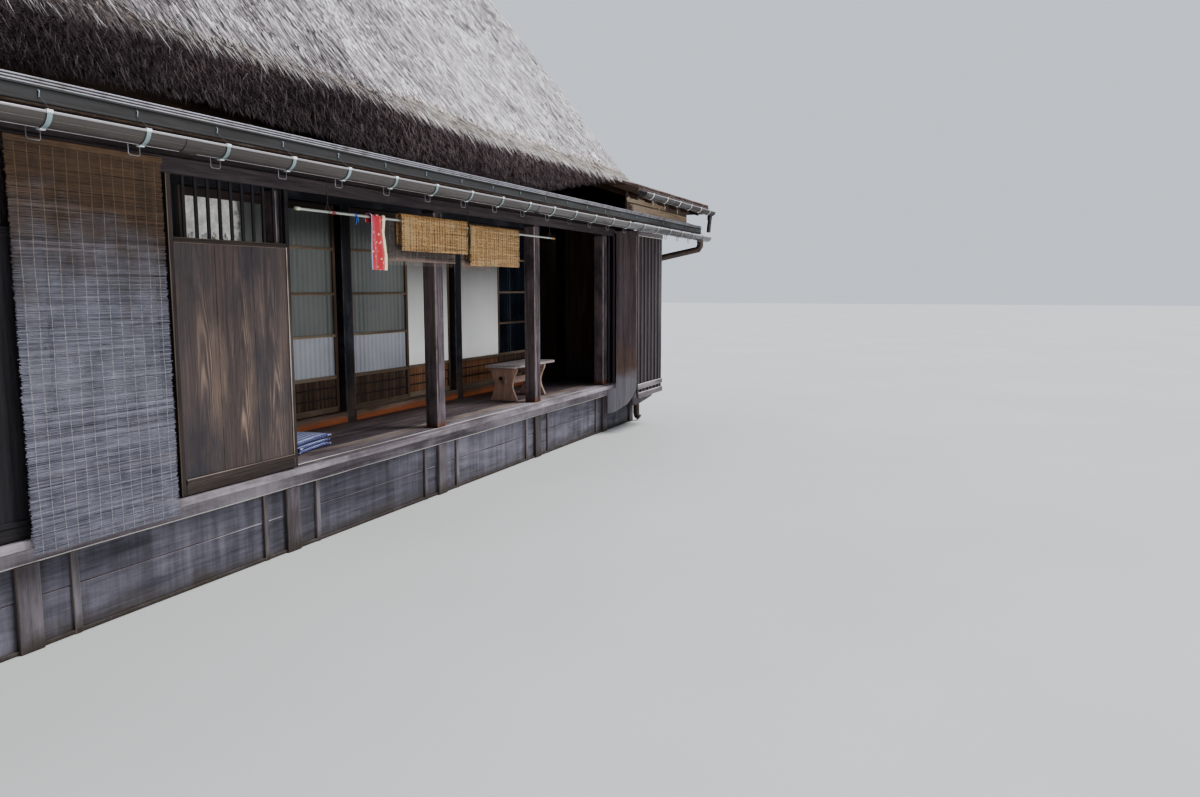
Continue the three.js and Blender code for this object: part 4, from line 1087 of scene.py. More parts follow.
def doorParts(low, high, pane):
    # a sliding door between two corners, glazed unless its pane is paper
    x0, y0, z0 = low
    x1, y1, z1 = high
    a, b = x0 + inner["stile"], x1 - inner["stile"]
    across = [doorWoodX, doorEdge]
    front = y0 + 0.001
    parts = blocks([doorWoodZ], 0.003, [(x0, y0, z0, a, y1, z1), (b, y0, z0, x1, y1, z1)])
    parts += blocks([panelRail], 0.003, [(a, front, z1 - 0.062, b, y1, z1)])
    parts += blocks(across, 0.003, [(a, front, z0, b, y1, z0 + 0.048),
                                    (a, front, inner["middle"][0], b, y1, inner["middle"][1])])
    if pane is paper:
        parts.append(block((a, y0 + 0.007, 0.96), (b, y0 + 0.009, z1 - 0.04), [pane], 0))
    else:
        parts += blocks(across, 0.003, [
            (a, y0 + 0.002, z - 0.010, b, y1 - 0.004, z + 0.012) for z in inner["bars"]])
        parts.append(ribbed(a, b, y0 + 0.018, 0.96, z1 - 0.055, inner["rib"], 0.0022, pane))
    panel = warmBamboo if pane is paper else darkBamboo
    parts.append(ribbed(a, b, y0 + 0.016, z0 + 0.04, 0.945, inner["slat"], 0.004, panel))
    return parts + blocks([panelRail], 0.002, [(a, y0 + 0.005, z - 0.006, b, y0 + 0.013, z + 0.006)
                                               for z in inner["ledges"]])


doorPanes = {"glassDoor1": cornerCurtain, "glassDoor2": curtain, "glassDoor3": curtain,
             "glassDoor4": darkGlass, "shojiDoor1": paper, "shojiDoor2": paper}
for name, pane in doorPanes.items():
    slot = name[:5] + "_door_" + name[-1]
    finished(joined(name, doorParts(*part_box(slot), pane)), slot, body=slot)
low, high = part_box("closed_doors")
middle = (low[0] + high[0]) / 2
pair = doorParts(low, (middle + 0.02, low[1] + 0.03, high[2]), paper)
pair += doorParts((middle - 0.02, high[1] - 0.03, low[2]), high, paper)
finished(joined("closedDoors", pair), "closed_doors")

# Sill under the inner doors, worn to orange in front, with two grooves on top
sillWood = wood("innerSill", 0, "#3c302a", "#806a5a", "#968474", 0.4, 2.5,
                fibre=(1.0, 30), low=("#b86e46", 0.606, 0.04))
sillTop = wood("innerSillTop", 0, "#5c4a3e", "#9c8470", "#9c9288", 0.4)
sillEnds = (-7.22, -6.43, -6.31, -4.61, -4.49, -2.79, -2.67, -0.97, -0.85, 0.85, 0.97, 2.67, 2.79, 4.49, 4.61,
            6.31)
parts = []
for left, right in zip(sillEnds[::2], sillEnds[1::2]):
    parts.append(block((left, -3.706, 0.5605), (right, -3.699, 0.646), [sillWood, sillTop], 0.002, 10, 0.002))
    parts.append(block((left, -3.706, 0.6505), (right, -3.668, 0.6535), [sillTop], 0.001))
finished(joined("innerSill", parts), "inner_frame", False)
print("inner doors made")

# Drying pole with what hangs on it
hung = {"y": -4.96, "z": 2.17, "radius": 0.0088, "x": (0.62, 4.20), "pitch": 0.0043, "column": 0.035,
        "hangers": (0.91, 2.60, 4.095), "oldY": -4.926}
paleMetal = metal("paleMetal", "#b8bab4", "#8c8a82", 0.3, 0.3, 0.4, (0.8, 8, 8))
capLook = metal("poleCap", "#bcc0a8", "#8c9078", 0.3, rough=0.45)
brassEnd = metal("brassEnd", "#b08c54", "#786040", 0.3, rough=0.4, metallic=0.5)
redTie = metal("tieRed", "#b02430", "#8c1e28", 0.3, rough=0.6)
blueTie = metal("tieBlue", "#2c5ca8", "#284682", 0.3, rough=0.6)


def reedMaterial(name, dark, light, worn, low=None):
    # split bamboo with upright rows of fine dark dashes; low is (colour, height, softness) of its lower edge
    material, coords = newMaterial(name)
    level = noise(stretched(coords, (2.5, 30, 240)), 1.0, 2, 0.6)
    speck = noise(stretched(coords, (26, 26, 150)), 1.0, 2, 0.5)
    base = mixed(spread(level, 0.3, 0.7), dark, light)
    place = calc("FRACT", calc("DIVIDE", split(coords)[0], hung["column"]))
    column = calc("ABSOLUTE", minus(place, 0.5))
    streak = noise(stretched(coords, (26, 26, 64)), 1.0, 2, 0.5)
    dash = times(spread(column, 0.22, 0.08), spread(streak, 0.40, 0.52))
    dots = calc("MAXIMUM", spread(speck, 0.60, 0.68, 0.0, 0.55), times(dash, 0.85))
    colour = weathered(mixed(dots, base, tint(dark, 0.3)), worn, coords, 5.0, 0.3)["Color"]
    if low:
        colour = faded(low[0], colour, coords, *low[1:])
    shaded(colour, 0.6, level, 0.4, 0.002)
    return material


goldenReed = reedMaterial("goldenReed", "#765632", "#c29e6c", "#ae946e")
darkThread = metal("darkThread", "#422e1e", "#604830", 0.4, rough=0.9)
oldReed = reedMaterial("oldReed", "#241e1c", "#4e423c", "#58504a",
                       ("#766258", 1.912, 0.02))


def overPole(frontZ, backZ, gap, lift=0.0):
    # a path up the back of the pole, over it and down its front
    y, z, r = hung["y"], hung["z"] + lift, hung["radius"] + gap
    path = [(y + r, backZ)]
    while path[-1][1] < z:
        path.append((y + r, path[-1][1] + hung["pitch"]))
    steps = max(4, int(math.pi * r / hung["pitch"]))
    path += [(y + r * math.cos(math.pi * k / steps), z + r * math.sin(math.pi * k / steps))
             for k in range(1, steps)]
    path.append((y - r, z))
    while path[-1][1] > frontZ:
        path.append((y - r, path[-1][1] - hung["pitch"]))
    return path


def dropPath(top, bottom):
    count = int((top - bottom) / (hung["pitch"] * 0.92))
    return [(hung["oldY"], top - (top - bottom) * k / count) for k in range(count + 1)]


def wovenBlind(name, x0, x1, path, look, thread, seed, strings, ragged=0.006):
    random.seed(seed)
    strip = block((x0, -0.0008, -0.0017), (x1, 0.0008, 0.0017), [look], 0, 4)
    slats = []
    pairs = list(zip(path, path[1:]))
    for (ya, za), (yb, zb) in pairs:
        slat = copyOf(strip, turn=Matrix.Rotation(-math.atan2(yb - ya, zb - za), 4, "X"))
        tilt = random.gauss(0, 0.0009)
        for vertex in slat.data.vertices:
            vertex.co.z += tilt * (vertex.co.x - x0) / (x1 - x0) + random.gauss(0, 0.0002)
        slat.data.transform(Matrix.Translation((random.gauss(0, ragged), ya, za)))
        slats.append(slat)
    bpy.data.objects.remove(strip)
    parts = [joined("slats", slats)]
    for i in range(strings):
        x = x0 + 0.02 + (x1 - x0 - 0.04) * i / (strings - 1)
        line = []
        for k, ((ya, za), (yb, zb)) in enumerate(pairs):
            run = math.hypot(yb - ya, zb - za)
            # the thread shows over three slats and then runs behind three
            side = 0.0030 if (k // 3 + i) % 2 else -0.0024
            line.append((x, ya + side * (zb - za) / run, za - side * (yb - ya) / run))
        parts.append(tube(line, 0.0014, thread, 4))
    return joined(name, parts)


for name, x0, x1, path, seed, slot in (
        ("smallBlindA", 1.665, 2.555, overPole(1.965, 2.01, 0.013, 0.028), 5, "small_blind_1"),
        ("smallBlindB", 2.60, 3.435, overPole(1.88, 1.94, 0.012, 0.010), 6, "small_blind_2")):
    finished(wovenBlind(name, x0, x1, path, goldenReed, darkThread, seed, 12), slot)

# Two old blinds behind the pole, on a rail of their own, with a fringe of loose threads
oldRuns = (("oldLeft", 1.575, 2.46, 1.890, 8, 11), ("oldRight", 2.55, 3.02, 1.868, 9, 6))
y = hung["oldY"]
parts = [wovenBlind(name, left, right, dropPath(2.175, z), oldReed, string, seed, strings, 0.003)
         for name, left, right, z, seed, strings in oldRuns]
parts.append(tube([(1.54, y, 2.180), (3.05, y, 2.180)], 0.0055, oldReed))
random.seed(3)
thread = tube([(0, y, 0), (0.002, y - 0.001, -0.012), (0.0, y + 0.001, -0.026)], 0.0009, string, 4)
for name, left, right, z, seed, strings in oldRuns:
    x = left + 0.01
    while x < right:
        parts.append(copyOf(thread, (x, 0, z)))
        x += random.uniform(0.008, 0.02)
bpy.data.objects.remove(thread)
finished(joined("oldBlinds", parts), "old_blinds")

y, z, r = hung["y"], hung["z"], hung["radius"]
parts = [tube([(x0, y, z), (x1, y, z)], radius, look, 16) for x0, x1, radius, look in (
    (hung["x"][0] + 0.03, hung["x"][1] - 0.03, r, paleMetal),
    (hung["x"][0], hung["x"][0] + 0.035, r + 0.002, capLook),
    (hung["x"][1] - 0.06, hung["x"][1], r + 0.002, brassEnd))]
roofUnder = slopeAt(y) - 0.045
for x in hung["hangers"]:
    parts.append(tube([(x, y, roofUnder), (x, y, z + r + 0.05), (x + 0.004, y - r - 0.004, z + 0.01),
                       (x + 0.004, y - r * 0.6, z - r * 0.9), (x, y, z - r - 0.003),
                       (x, y + r * 0.7, z - r * 0.7), (x - 0.004, y + r + 0.003, z + 0.01),
                       (x, y, z + r + 0.06)], 0.0025, dullMetal, 6))
    parts.append(block((x - 0.012, y - 0.012, roofUnder - 0.004), (x + 0.012, y + 0.012, roofUnder),
                       [dullMetal], 0.002))
for x, look, drop in ((0.955, redTie, 0.014), (1.18, blueTie, 0.062), (1.345, blueTie, 0.02)):
    # a knotted tie with its two ends
    ring = [(x + 0.002 * math.sin(a * 2), y + (r + 0.004) * math.cos(a), z + (r + 0.004) * math.sin(a))
            for a in [math.radians(30 * k) for k in range(13)]]
    parts.append(tube(ring, 0.0032, look, 6))
    for side, low in ((-1, drop), (1, drop * 0.7)):
        parts.append(tube([(x, y - r - 0.004, z), (x + side * 0.008, y - r - 0.01, z - low * 0.4),
                           (x + side * 0.013, y - r - 0.006, z - low)], 0.003, look, 6))
cordLook = metal("darkCord", "#3c3632", "#968c7e", 0.5, rough=0.8)
for turn in (0, math.pi):
    twist = [(2.600 + 0.006 * math.cos(k * 0.9 + turn), y - r - 0.009 + 0.005 * math.sin(k * 0.9 + turn),
              z + 0.01 - 0.007 * k) for k in range(30)]
    parts.append(tube(twist, 0.0028, cordLook, 6))
finished(joined("dryingPole", parts), "pole")

# Towel: a thin cotton cloth gathered over the pole
towel = {"x": (1.310, 1.482), "front": 1.830, "back": 2.135, "folds": 2, "deep": 0.0055, "columns": 56}
path = overPole(towel["front"], towel["back"], 0.004)
lengths = [0.0]
for (ya, za), (yb, zb) in zip(path, path[1:]):
    lengths.append(lengths[-1] + math.hypot(yb - ya, zb - za))
flatLength = lengths[-1]
wide = towel["x"][1] - towel["x"][0]


def towelPlace(u, v):
    # folds that deepen and a cloth that widens away from the pole
    row = round(v * (len(path) - 1))
    ya, za = path[row]
    (yb, zb), (yc, zc) = path[max(row - 1, 0)], path[min(row + 1, len(path) - 1)]
    run = math.hypot(yc - yb, zc - zb)
    away = min(1.0, abs(lengths[row] - flatLength * 0.41) / 0.16)
    depth = towel["deep"] * (0.75 + 0.5 * away)
    fold = depth * (1 + math.sin(2 * math.pi * towel["folds"] * u + 0.8 * math.sin(za * 9) + 0.5))
    squeeze = 1 - 0.16 * (1 - away) + 0.03 * math.sin(za * 17)
    x = towel["x"][0] + wide * (0.5 + (u - 0.5) * squeeze) + 0.012 * math.sin((2.19 - za) * 6) * away
    return x, ya + (zc - zb) / run * fold, za - (yc - yb) / run * fold


cloth = gridOf(towel["columns"], len(path) - 1, towelPlace)
cotton, coords = newMaterial("towelCotton")
uv = node("ShaderNodeTexCoord").outputs["UV"]
across = split(uv)[0]
weave = noise(stretched(uv, (260, 620, 1)), 1.0, 2, 0.6)
spot = spread(cells(stretched(uv, (5, 14, 1)), 1.0), 0.24, 0.20)
red = mixed(spread(weave, 0.3, 0.7), "#a42a32", "#c04244")
red = mixed(times(spot, 0.75), red, "#ecd0be")
red = mixed(spread(across, 0.87, 0.885), red, "#e4d6b2")
red = mixed(spread(across, 0.045, 0.035), red, "#9696be")
shaded(red, 0.9, weave, 0.3, 0.001, more={"Sheen Weight": 0.3})
coloured(cloth, [cotton])
bpy.ops.object.shade_smooth()
cloth.name = "towelCloth"
finished(cloth, "towel")

# Bench: a plank on two waisted legs with a stretcher through them
bench = {"low": (4.44, -4.40, 0.895), "high": (5.40, -4.06, 0.925), "leg": (4.50, 4.53), "apart": 0.65,
         "legY": (-4.395, -4.085), "legZ": (0.562, 0.894), "knot": (4.50, -4.21, 0.79)}
seatWood = wood("benchSeat", 0, "#7c7171", "#c0b6b7", "#ccc4c8", 0.4)
seatEnd = wood("benchSeatEnd", 1, "#68544c", "#a0887c", "#a6968a", 0.3)
legEdge = wood("benchLegEdge", 2, "#907c6e", "#c6b4a4", "#c8baac", 0.3)
legWood, coords = newMaterial("benchLeg")
grain = grained(stretched(coords, (20, 26, 2.2)), "#7c6056", "#c8a492")
knot = vectorCalc("DISTANCE", {0: coords, 1: bench["knot"]})["Value"]
ring = times(calc("SINE", times(knot, 420)), spread(knot, 0.012, 0.07, 0.4, 0))
colour = mixed(spread(knot, 0.024, 0.016), grain["Color"], "#221812")
colour = mixed(spread(ring, 0.0, 0.4, 0.0, 0.5), colour, "#463022")
shaded(colour, 0.7, grain["Height"], 0.4, 0.003)
y0, y1 = bench["legY"]
z0, z1 = bench["legZ"]
half, centre = (y1 - y0) / 2, (y0 + y1) / 2
outline = []
for k in range(15):
    t = k / 14
    waist = half * (1 - 0.34 * math.sin(math.pi * min(1.0, t * 1.04)) ** 1.4)
    outline.append((centre - waist, z0 + (z1 - z0) * t))
outline += [(2 * centre - y, z) for y, z in reversed(outline)]
leg = profile(outline, *bench["leg"], [legWood, legEdge])
bevelled(leg, 0.003, 1)
parts = [block(bench["low"], bench["high"], [seatWood, seatEnd], 0.005, 8, 0.003, True),
         copyOf(leg, (bench["apart"], 0, 0)), leg,
         block((4.462, -4.285, 0.728), (5.218, -4.255, 0.798), [seatEnd], 0.004, 6, 0.002, True)]
finished(joined("benchPiece", parts), "bench")
print("bench made")

# Cushions: three thin checked ones in a stack
cushion = {"centre": (1.40, -4.125), "size": 0.52, "seam": 0.014, "turn": 12, "check": 0.034, "dome": 0.012,
           "voxel": 0.0095, "pressure": 4, "frames": 20, "furthest": 0.012, "skin": 0.0006}
checked, coords = newMaterial("checkedCotton")
local = node("ShaderNodeMapping", {"Vector": coords, "Location": (-1.40, 4.125, 0)}).outputs[0]
turned = (0, 0, math.radians(-cushion["turn"]))
local = node("ShaderNodeMapping", {"Vector": local, "Rotation": turned}).outputs[0]
bands = [calc("GREATER_THAN", calc("FRACT", calc("DIVIDE", value, cushion["check"])), 0.5)
         for value in split(local)[:2]]
thread = noise(local, 420, 2, 0.6)
colour = mixed(times(calc("MAXIMUM", *bands), 0.24), "#2c326c", "#c0c8ee")
colour = mixed(times(*bands), colour, "#ced2ea")
colour = mixed(spread(thread, 0.35, 0.65, 0.0, 0.15), colour, "#606692")
shaded(colour, 0.9, thread, 0.35, 0.001, more={"Sheen Weight": 0.1})


def puffed(pad):
    # cloth with air in it, stepped here, with no part moved further than the limit
    rest = [vertex.co.copy() for vertex in pad.data.vertices]
    only(pad)
    puff = pad.modifiers.new("puff", "CLOTH")
    puff.settings.use_pressure = True
    puff.settings.uniform_pressure_force = cushion["pressure"]
    puff.settings.effector_weights.gravity = 0
    puff.point_cache.frame_start = 1
    puff.point_cache.frame_end = cushion["frames"]
    for step in range(1, cushion["frames"] + 1):
        bpy.context.scene.frame_set(step)
    bpy.ops.object.modifier_apply(modifier="puff")
    bpy.context.scene.frame_set(1)
    for vertex, before in zip(pad.data.vertices, rest):
        move = vertex.co - before
        if move.length > cushion["furthest"]:
            vertex.co = before + move.normalized() * cushion["furthest"]


def makeCushion(name, low, high, extra):
    half, middle, skin = cushion["size"] / 2, (low + high) / 2, cushion["skin"]
    wide = cushion["size"] - cushion["seam"]
    clearSelection()
    bpy.ops.mesh.primitive_cube_add(size=1, location=(0, 0, 0))
    pad = bpy.context.object
    pad.scale = (wide, wide, (high - low) * 0.62)
    bpy.ops.object.transform_apply(location=True, rotation=True, scale=True)
    subdivided(pad, 15)
    for vertex in pad.data.vertices:
        # the sides pull in between the corners
        u, v = vertex.co.x / half, vertex.co.y / half
        vertex.co.x *= 1 - 0.05 * (1 - v * v)
        vertex.co.y *= 1 - 0.05 * (1 - u * u)
        vertex.co.z *= 1 - 0.72 * max(abs(u), abs(v)) ** 6
    remeshed(pad, cushion["voxel"])
    puffed(pad)
    dome = cushion["dome"] if name == "cushionTop" else 0.0
    for vertex in pad.data.vertices:
        # rounded edges, and a crown on the one that nothing lies on
        ripple = 0.0012 * math.sin(vertex.co.x * 40 + extra) * math.sin(vertex.co.y * 33)
        u, v = min(1.0, abs(vertex.co.x / half)), min(1.0, abs(vertex.co.y / half))
        crown = (1 - u ** 4) * (1 - v ** 4)
        limit = (high - middle - skin) * (0.45 + 0.55 * crown) + dome * (1 - u * u) * (1 - v * v)
        bottom = (low - middle) * (0.6 + 0.4 * crown) + skin
        vertex.co.z = max(bottom, min(limit, vertex.co.z * 1.6 + ripple + dome * crown))
    applied(pad, "SMOOTH", iterations=3)
    turn = Matrix.Rotation(math.radians(cushion["turn"] + extra * 0.4), 4, "Z")
    pad.data.transform(Matrix.Translation((*cushion["centre"], middle)) @ turn)
    pad.name = name
    only(coloured(pad, [checked]))
    bpy.ops.object.shade_smooth()
    return pad


for name, low, high, extra, slot, replace in (("cushionBottom", 0.5605, 0.589, 0, "cushion_lower", True),
                                              ("cushionMiddle", 0.5885, 0.6165, 4, "cushion_lower", False),
                                              ("cushionTop", 0.6165, 0.655, -3, "cushion_upper", True)):
    finished(makeCushion(name, low, high, extra), slot, replace)
print("cushions made")

# Closed rain doors on the left part of the front, like the open one but nearly black
low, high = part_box("closed_shutters")
each = (high[0] - low[0]) / 6
blackWood = wood("blackShutter", 2, "#121115", "#322e32", "#545054", 0.2)
blackRail = wood("blackShutterRail", 0, "#141216", "#343032", "#545054", 0.2)
narrower = Matrix.Diagonal(((each - 0.002) / (rain["x"][1] - rain["x"][0]), 1, 1, 1))
shutter = copyOf(rainDoor, (low[0], low[1] - rain["y"][0], 0),
                 narrower @ Matrix.Translation((-rain["x"][0], 0, 0)))
swaps = {"rainDoorFrame": blackWood, "rainDoorRails": blackRail, "rainDoorEdge": blackWood,
         "rainDoorBoards": blackWood, "darkEdgeX": blackRail, "darkEdgeZ": blackWood}
for index, look in enumerate(shutter.data.materials):
    shutter.data.materials[index] = swaps.get(look.name, look)
for key in list(shutter.keys()):
    del shutter[key]
shutter.parent = None
finished(joined("closedShutters", rowOf(shutter, [each * i for i in range(6)])), "closed_shutters")

# Shutter boxes: slatted front, wide end boards with a rounded foot
box = {"x": (6.44, 7.335), "y": -4.98, "z": (0.41, 2.37), "slats": 7}
slatWood = wood("boxSlats", 2, "#262229", "#544d56", "#6c666e", 0.25)
slatEdge = wood("boxSlatEdges", 2, "#4a403c", "#7c6e66", "#8c827a", 0.4)
boxDark = wood("boxBoards", 2, "#181516", "#383232", "#4e4a4c", 0.2)
boxRail = wood("boxRails", 0, "#3e393b", "#7a7375", "#928d92", 0.35)
x0, x1 = box["x"]
z0, z1 = box["z"]
y = box["y"]
parts = [block((x0 + 0.02, y - 0.004, z0 + 0.02), (x1 - 0.01, y + 0.002, z1 - 0.01), [boxDark], 0)]
parts += blocks([boxRail, edgeX], 0.004, [(x0 - 0.004, y - 0.022, z1 - 0.06, x1, y, z1),
                                          (x0 - 0.004, y - 0.026, z0 + 0.10, x1, y, z0 + 0.16),
                                          (x0 - 0.004, y - 0.030, z0 - 0.005, x1, y, z0 + 0.06)], 6, 0.002)
slat = block((x0 + 0.008, y - 0.016, z0 + 0.05), (x0 + 0.05, y, z1 - 0.055), [slatWood, slatEdge], 0.004,
             8, 0.003)
parts += rowOf(slat, [(x1 - x0) * i / box["slats"] for i in range(box["slats"])] + [x1 - x0 - 0.06])
boxSlots = ("shutter_box_right", "shutter_box_left")
onBothSides(joined("boxSlatsRight", parts), boxSlots, turn=Matrix.Translation((-(x0 + x1), 0, 0)))
mirror = Matrix.Diagonal((-1, 1, 1, 1))
jambs = blocks([slatWood], 0.002, [(x0 + 0.0005, y0, 0.566, x0 + 0.026, y1, z1 - 0.01)
                                   for y0, y1 in ((-4.70, -4.677), (-4.633, -4.612))])
onBothSides(joined("boxJambRight", jambs), boxSlots, turn=mirror)
print("shutters and boxes made")

# Hipped roofs over both ends: rusty sheets with raised seams, plank aprons and small gutters
skirt = {"x": 8.10, "y": 5.37, "top": 2.74, "slope": 0.325, "wall": 5.53, "inner": 5.38, "seam": 0.455,
         "gableHalf": 2.75}
upper = {"centre": (-5.420, 2.690), "radius": 0.050, "straps": (5.6, 6.08, 6.55, 7.0, 7.42, 7.83)}
skirtSlots = ("skirt_roof_right", "skirt_roof_left")
oldSheet = metal("oldSheet", "#786c68", "#5c4238", 0.55, rough=0.6, streak=(0.7, 5, 3))
redEdge = metal("redEdge", "#48322f", "#2e2625", 0.5, rough=0.5)
tanPlank = wood("tanPlank", 0, "#544438", "#96826c", "#8c8070", 0.4, fibre=(1.5, 40))
pegLook = metal("palePeg", "#cec8b8", "#968c7c", 0.3, rough=0.6)


def skirtSeam(start, end, width=0.018, depth=0.024, bevel=0.003, lift=0.015):
    # a raised seam; each end is (x, y, distance in from the roof's edge)
    (xa, ya, a), (xb, yb, b) = start, end
    heights = [skirt["top"] + skirt["slope"] * inward + lift for inward in (a, b)]
    return beam((xa, ya, heights[0]), (xb, yb, heights[1]), width, depth, [oldSheet], bevel)


skin = mergedCopy("skirt_roof_right", "skin")
top = facesOf(skin, "skirtTop", lambda face: face.normal.z > 0.9)
bpy.data.objects.remove(skin)
applied(top, "SOLIDIFY", thickness=0.005, offset=1)
top.data.transform(Matrix.Translation((0, 0, 0.0015)))
parts = [coloured(top, [oldSheet])]
x1, y1, seamStep = skirt["x"], skirt["y"], skirt["seam"]
depth = x1 - skirt["wall"]
count = int(y1 / seamStep)
for step in range(-count, count + 1):
    y = step * seamStep
    inward = min(depth, y1 - abs(y))
    if inward > 0.15:
        parts.append(skirtSeam((x1 - 0.004, y, 0.004), (x1 - inward, y, inward)))
x = skirt["inner"] + 0.2
while x < x1 - 0.2:
    inward = min(x1 - x, 0.245) if x < 6.06 else x1 - x
    for side in (-1, 1):
        parts.append(skirtSeam((x, side * (y1 - 0.004), 0.004), (x, side * (y1 - inward), inward)))
    x += seamStep
for side in (-1, 1):
    parts.append(skirtSeam((x1 - 0.01, side * (y1 - 0.01), 0.01), (x1 - depth, side * (y1 - depth), depth),
                           0.06, 0.028, 0.006, 0.018))
    parts.append(block((skirt["inner"], side * y1 - 0.006, 2.706), (x1, side * y1 + 0.006, 2.746), [redEdge],
                       0.004, 6, 0.002))
parts.append(block((x1 - 0.006, -y1, 2.664), (x1, y1, 2.746), [redEdge], 0.003))
ledgeZ = skirt["top"] + skirt["slope"] * depth
parts.append(block((skirt["wall"] - 0.01, -skirt["gableHalf"], ledgeZ - 0.01),
                   (skirt["wall"] + 0.012, skirt["gableHalf"], ledgeZ + 0.07), [oldSheet], 0.004))
onBothSides(joined("skirtSheetRight", parts), skirtSlots)

random.seed(12)
parts = []
for x0, x1, low, high, y in ((5.42, 6.64, 2.602, 2.656, -5.252), (5.53, 7.48, 2.508, 2.588, -5.254)):
    parts.append(block((x0, y - 0.012, low), (x1, y, high), [tanPlank], 0.003, 10, 0.003))
    for k in range(4):
        # splinters at the ragged left end
        z = low + (high - low) * (k + 0.5) / 4
        parts.append(block((x0 - random.uniform(0.02, 0.1), y - 0.010, z - 0.006),
                           (x0 + 0.05, y - 0.002, z + 0.006), [tanPlank], 0.002))
for x, z in ((6.15, 2.650), (6.58, 2.640), (7.06, 2.622), (6.36, 2.592)):
    parts.append(tube([(x, -5.270, z - 0.022), (x, -5.270, z + 0.022)], 0.006, pegLook, 8))
outward(onBothSides(joined("apronPlanksRight", parts), skirtSlots, turn=mirror))

upperLook = metal("upperGutterMetal", "#424244", "#3c3230", 0.5, 0.5, 0.2, (1.2, 6, 6))
for name, side in ends:
    start, end = sorted((side * skirt["inner"], side * skirt["x"]))
    run, straps = gutterRun("upperGutter" + name, upper, start, end, upperLook,
                            [side * x for x in upper["straps"]], pegLook)
    pipe = tube([(side * 8.01, -5.415, 2.625), (side * 8.01, -5.415, 2.56), (side * 8.002, -5.41, 2.50),
                 (side * 8.0, -5.405, 2.425)], 0.026, upperLook, 14)
    collar = tube([(side * 8.01, -5.417, 2.648), (side * 8.01, -5.415, 2.585)], 0.031, upperLook, 14)
    finished(joined("upperGutter" + name, [run, pipe, collar] + straps), "upper_gutter_" + name.lower())

# Downpipe: swan neck from the gutter to the corner, then down the wall
bends = [(7.73, -5.372, 2.31), (7.73, -5.372, 2.24), (7.725, -5.345, 2.195), (7.44, -4.70, 2.035),
         (7.402, -4.64, 2.00), (7.40, -4.635, 1.95), (7.40, -4.635, 0.10), (7.40, -4.645, 0.06),
         (7.40, -4.68, 0.035)]
parts = [tube(bends, 0.041, darkPipe, 16)]
for z in (0.35, 1.15, 1.9):
    parts.append(tube([(7.40, -4.635, z), (7.40, -4.635, z + 0.03)], 0.034, galvanised, 16))
    parts.append(block((7.345, -4.625, z + 0.006), (7.40, -4.600, z + 0.024), [galvanised], 0.001))
parts.append(tube([(7.73, -5.372, 2.315), (7.73, -5.372, 2.262)], 0.036, gutterMetal, 16))
finished(joined("cornerDownpipe", parts), "downpipe")
print("skirt roofs made")

# Walls: everything is made as if it faced the front, then turned to its own side
wallPost = wood("wallPosts", 2, "#281f1b", "#5c4a3e", "#7a726c", 0.3)
wallRail = wood("wallRails", 0, "#342a24", "#746254", "#90867e", 0.4)
wallBatten = wood("wallBattens", 2, "#3e322a", "#7c6858", "#948a82", 0.4)
sashWood = wood("sashWood", 2, "#4a3426", "#967050", "#a08a72", 0.35)
sashPaper = paperMaterial("windowPaper", "#e8e6dc", 0.4)
railLooks = [wallRail, edgeX]
boardPitch = 0.303
endBoards, backBoards = (
    wood(name, 2, "#30251f", "#6c5646", "#8a7e74", 0.4, boards=(axis, boardPitch), tones=0.5,
         low=("#706862", 0.7, 0.4)) for name, axis in (("endWallBoards", 1), ("backWallBoards", 0)))
sides = {"Right": 90, "Left": -90, "Back": 180}


def onSide(side, name, parts, slot, replace=False):
    obj = joined(name, parts)
    obj.data.transform(Matrix.Rotation(math.radians(sides[side]), 4, "Z"))
    return finished(obj, slot, replace)


def inHole(u0, u1, z0, z1, holes):
    return any(u1 > a and u0 < b and z1 > c and z0 < d for a, b, c, d in holes)


def spansAt(z, reach, holes):
    # the stretches of a rail at that height that the holes leave
    spans = [(-reach, reach)]
    for a, b, c, d in holes:
        if c < z < d:
            spans = [span for left, right in spans for span in ((left, min(right, a)), (max(left, b), right))
                     if span[1] > span[0]]
    return spans


def windowParts(u0, u1, z0, z1, face, columns, rows, pane):
    # a frame round a pair of sliding sashes with thin bars; face is the wall's distance
    looks, y = [sashWood], -face
    parts = blocks(railLooks, 0.004, [(u0 - 0.045, y - 0.035, z0 - 0.05, u1 + 0.045, y + 0.02, z0),
                                      (u0 - 0.045, y - 0.03, z1, u1 + 0.045, y + 0.02, z1 + 0.05)])
    parts += blocks(looks, 0.004, [(u0 - 0.045, y - 0.022, z0, u0, y + 0.02, z1),
                                   (u1, y - 0.022, z0, u1 + 0.045, y + 0.02, z1)])
    middle = (u0 + u1) / 2
    for a, b, deep in ((u0, middle + 0.02, 0.0), (middle - 0.02, u1, 0.024)):
        front = y - 0.008 + deep
        back, left, right, low, high = front + 0.022, a + 0.03, b - 0.03, z0 + 0.05, z1 - 0.035
        parts += blocks(looks, 0.003, [(a, front, z0, left, back, z1), (right, front, z0, b, back, z1),
                                       (left, front, z0, right, back, low),
                                       (left, front, high, right, back, z1)])
        parts += blocks([pane], 0, [(left, front + 0.012, low, right, front + 0.014, high)])
        columnsAt = [left + (right - left) * k / columns for k in range(1, columns)]
        rowsAt = [low + (high - low) * k / rows for k in range(1, rows)]
        parts += blocks(looks, 0.0015, [(u - 0.005, front + 0.003, low, u + 0.005, front + 0.013, high)
                                        for u in columnsAt])
        parts += blocks(looks, 0.0015, [(left, front + 0.004, z - 0.005, right, front + 0.013, z + 0.005)
                                        for z in rowsAt])
    return parts


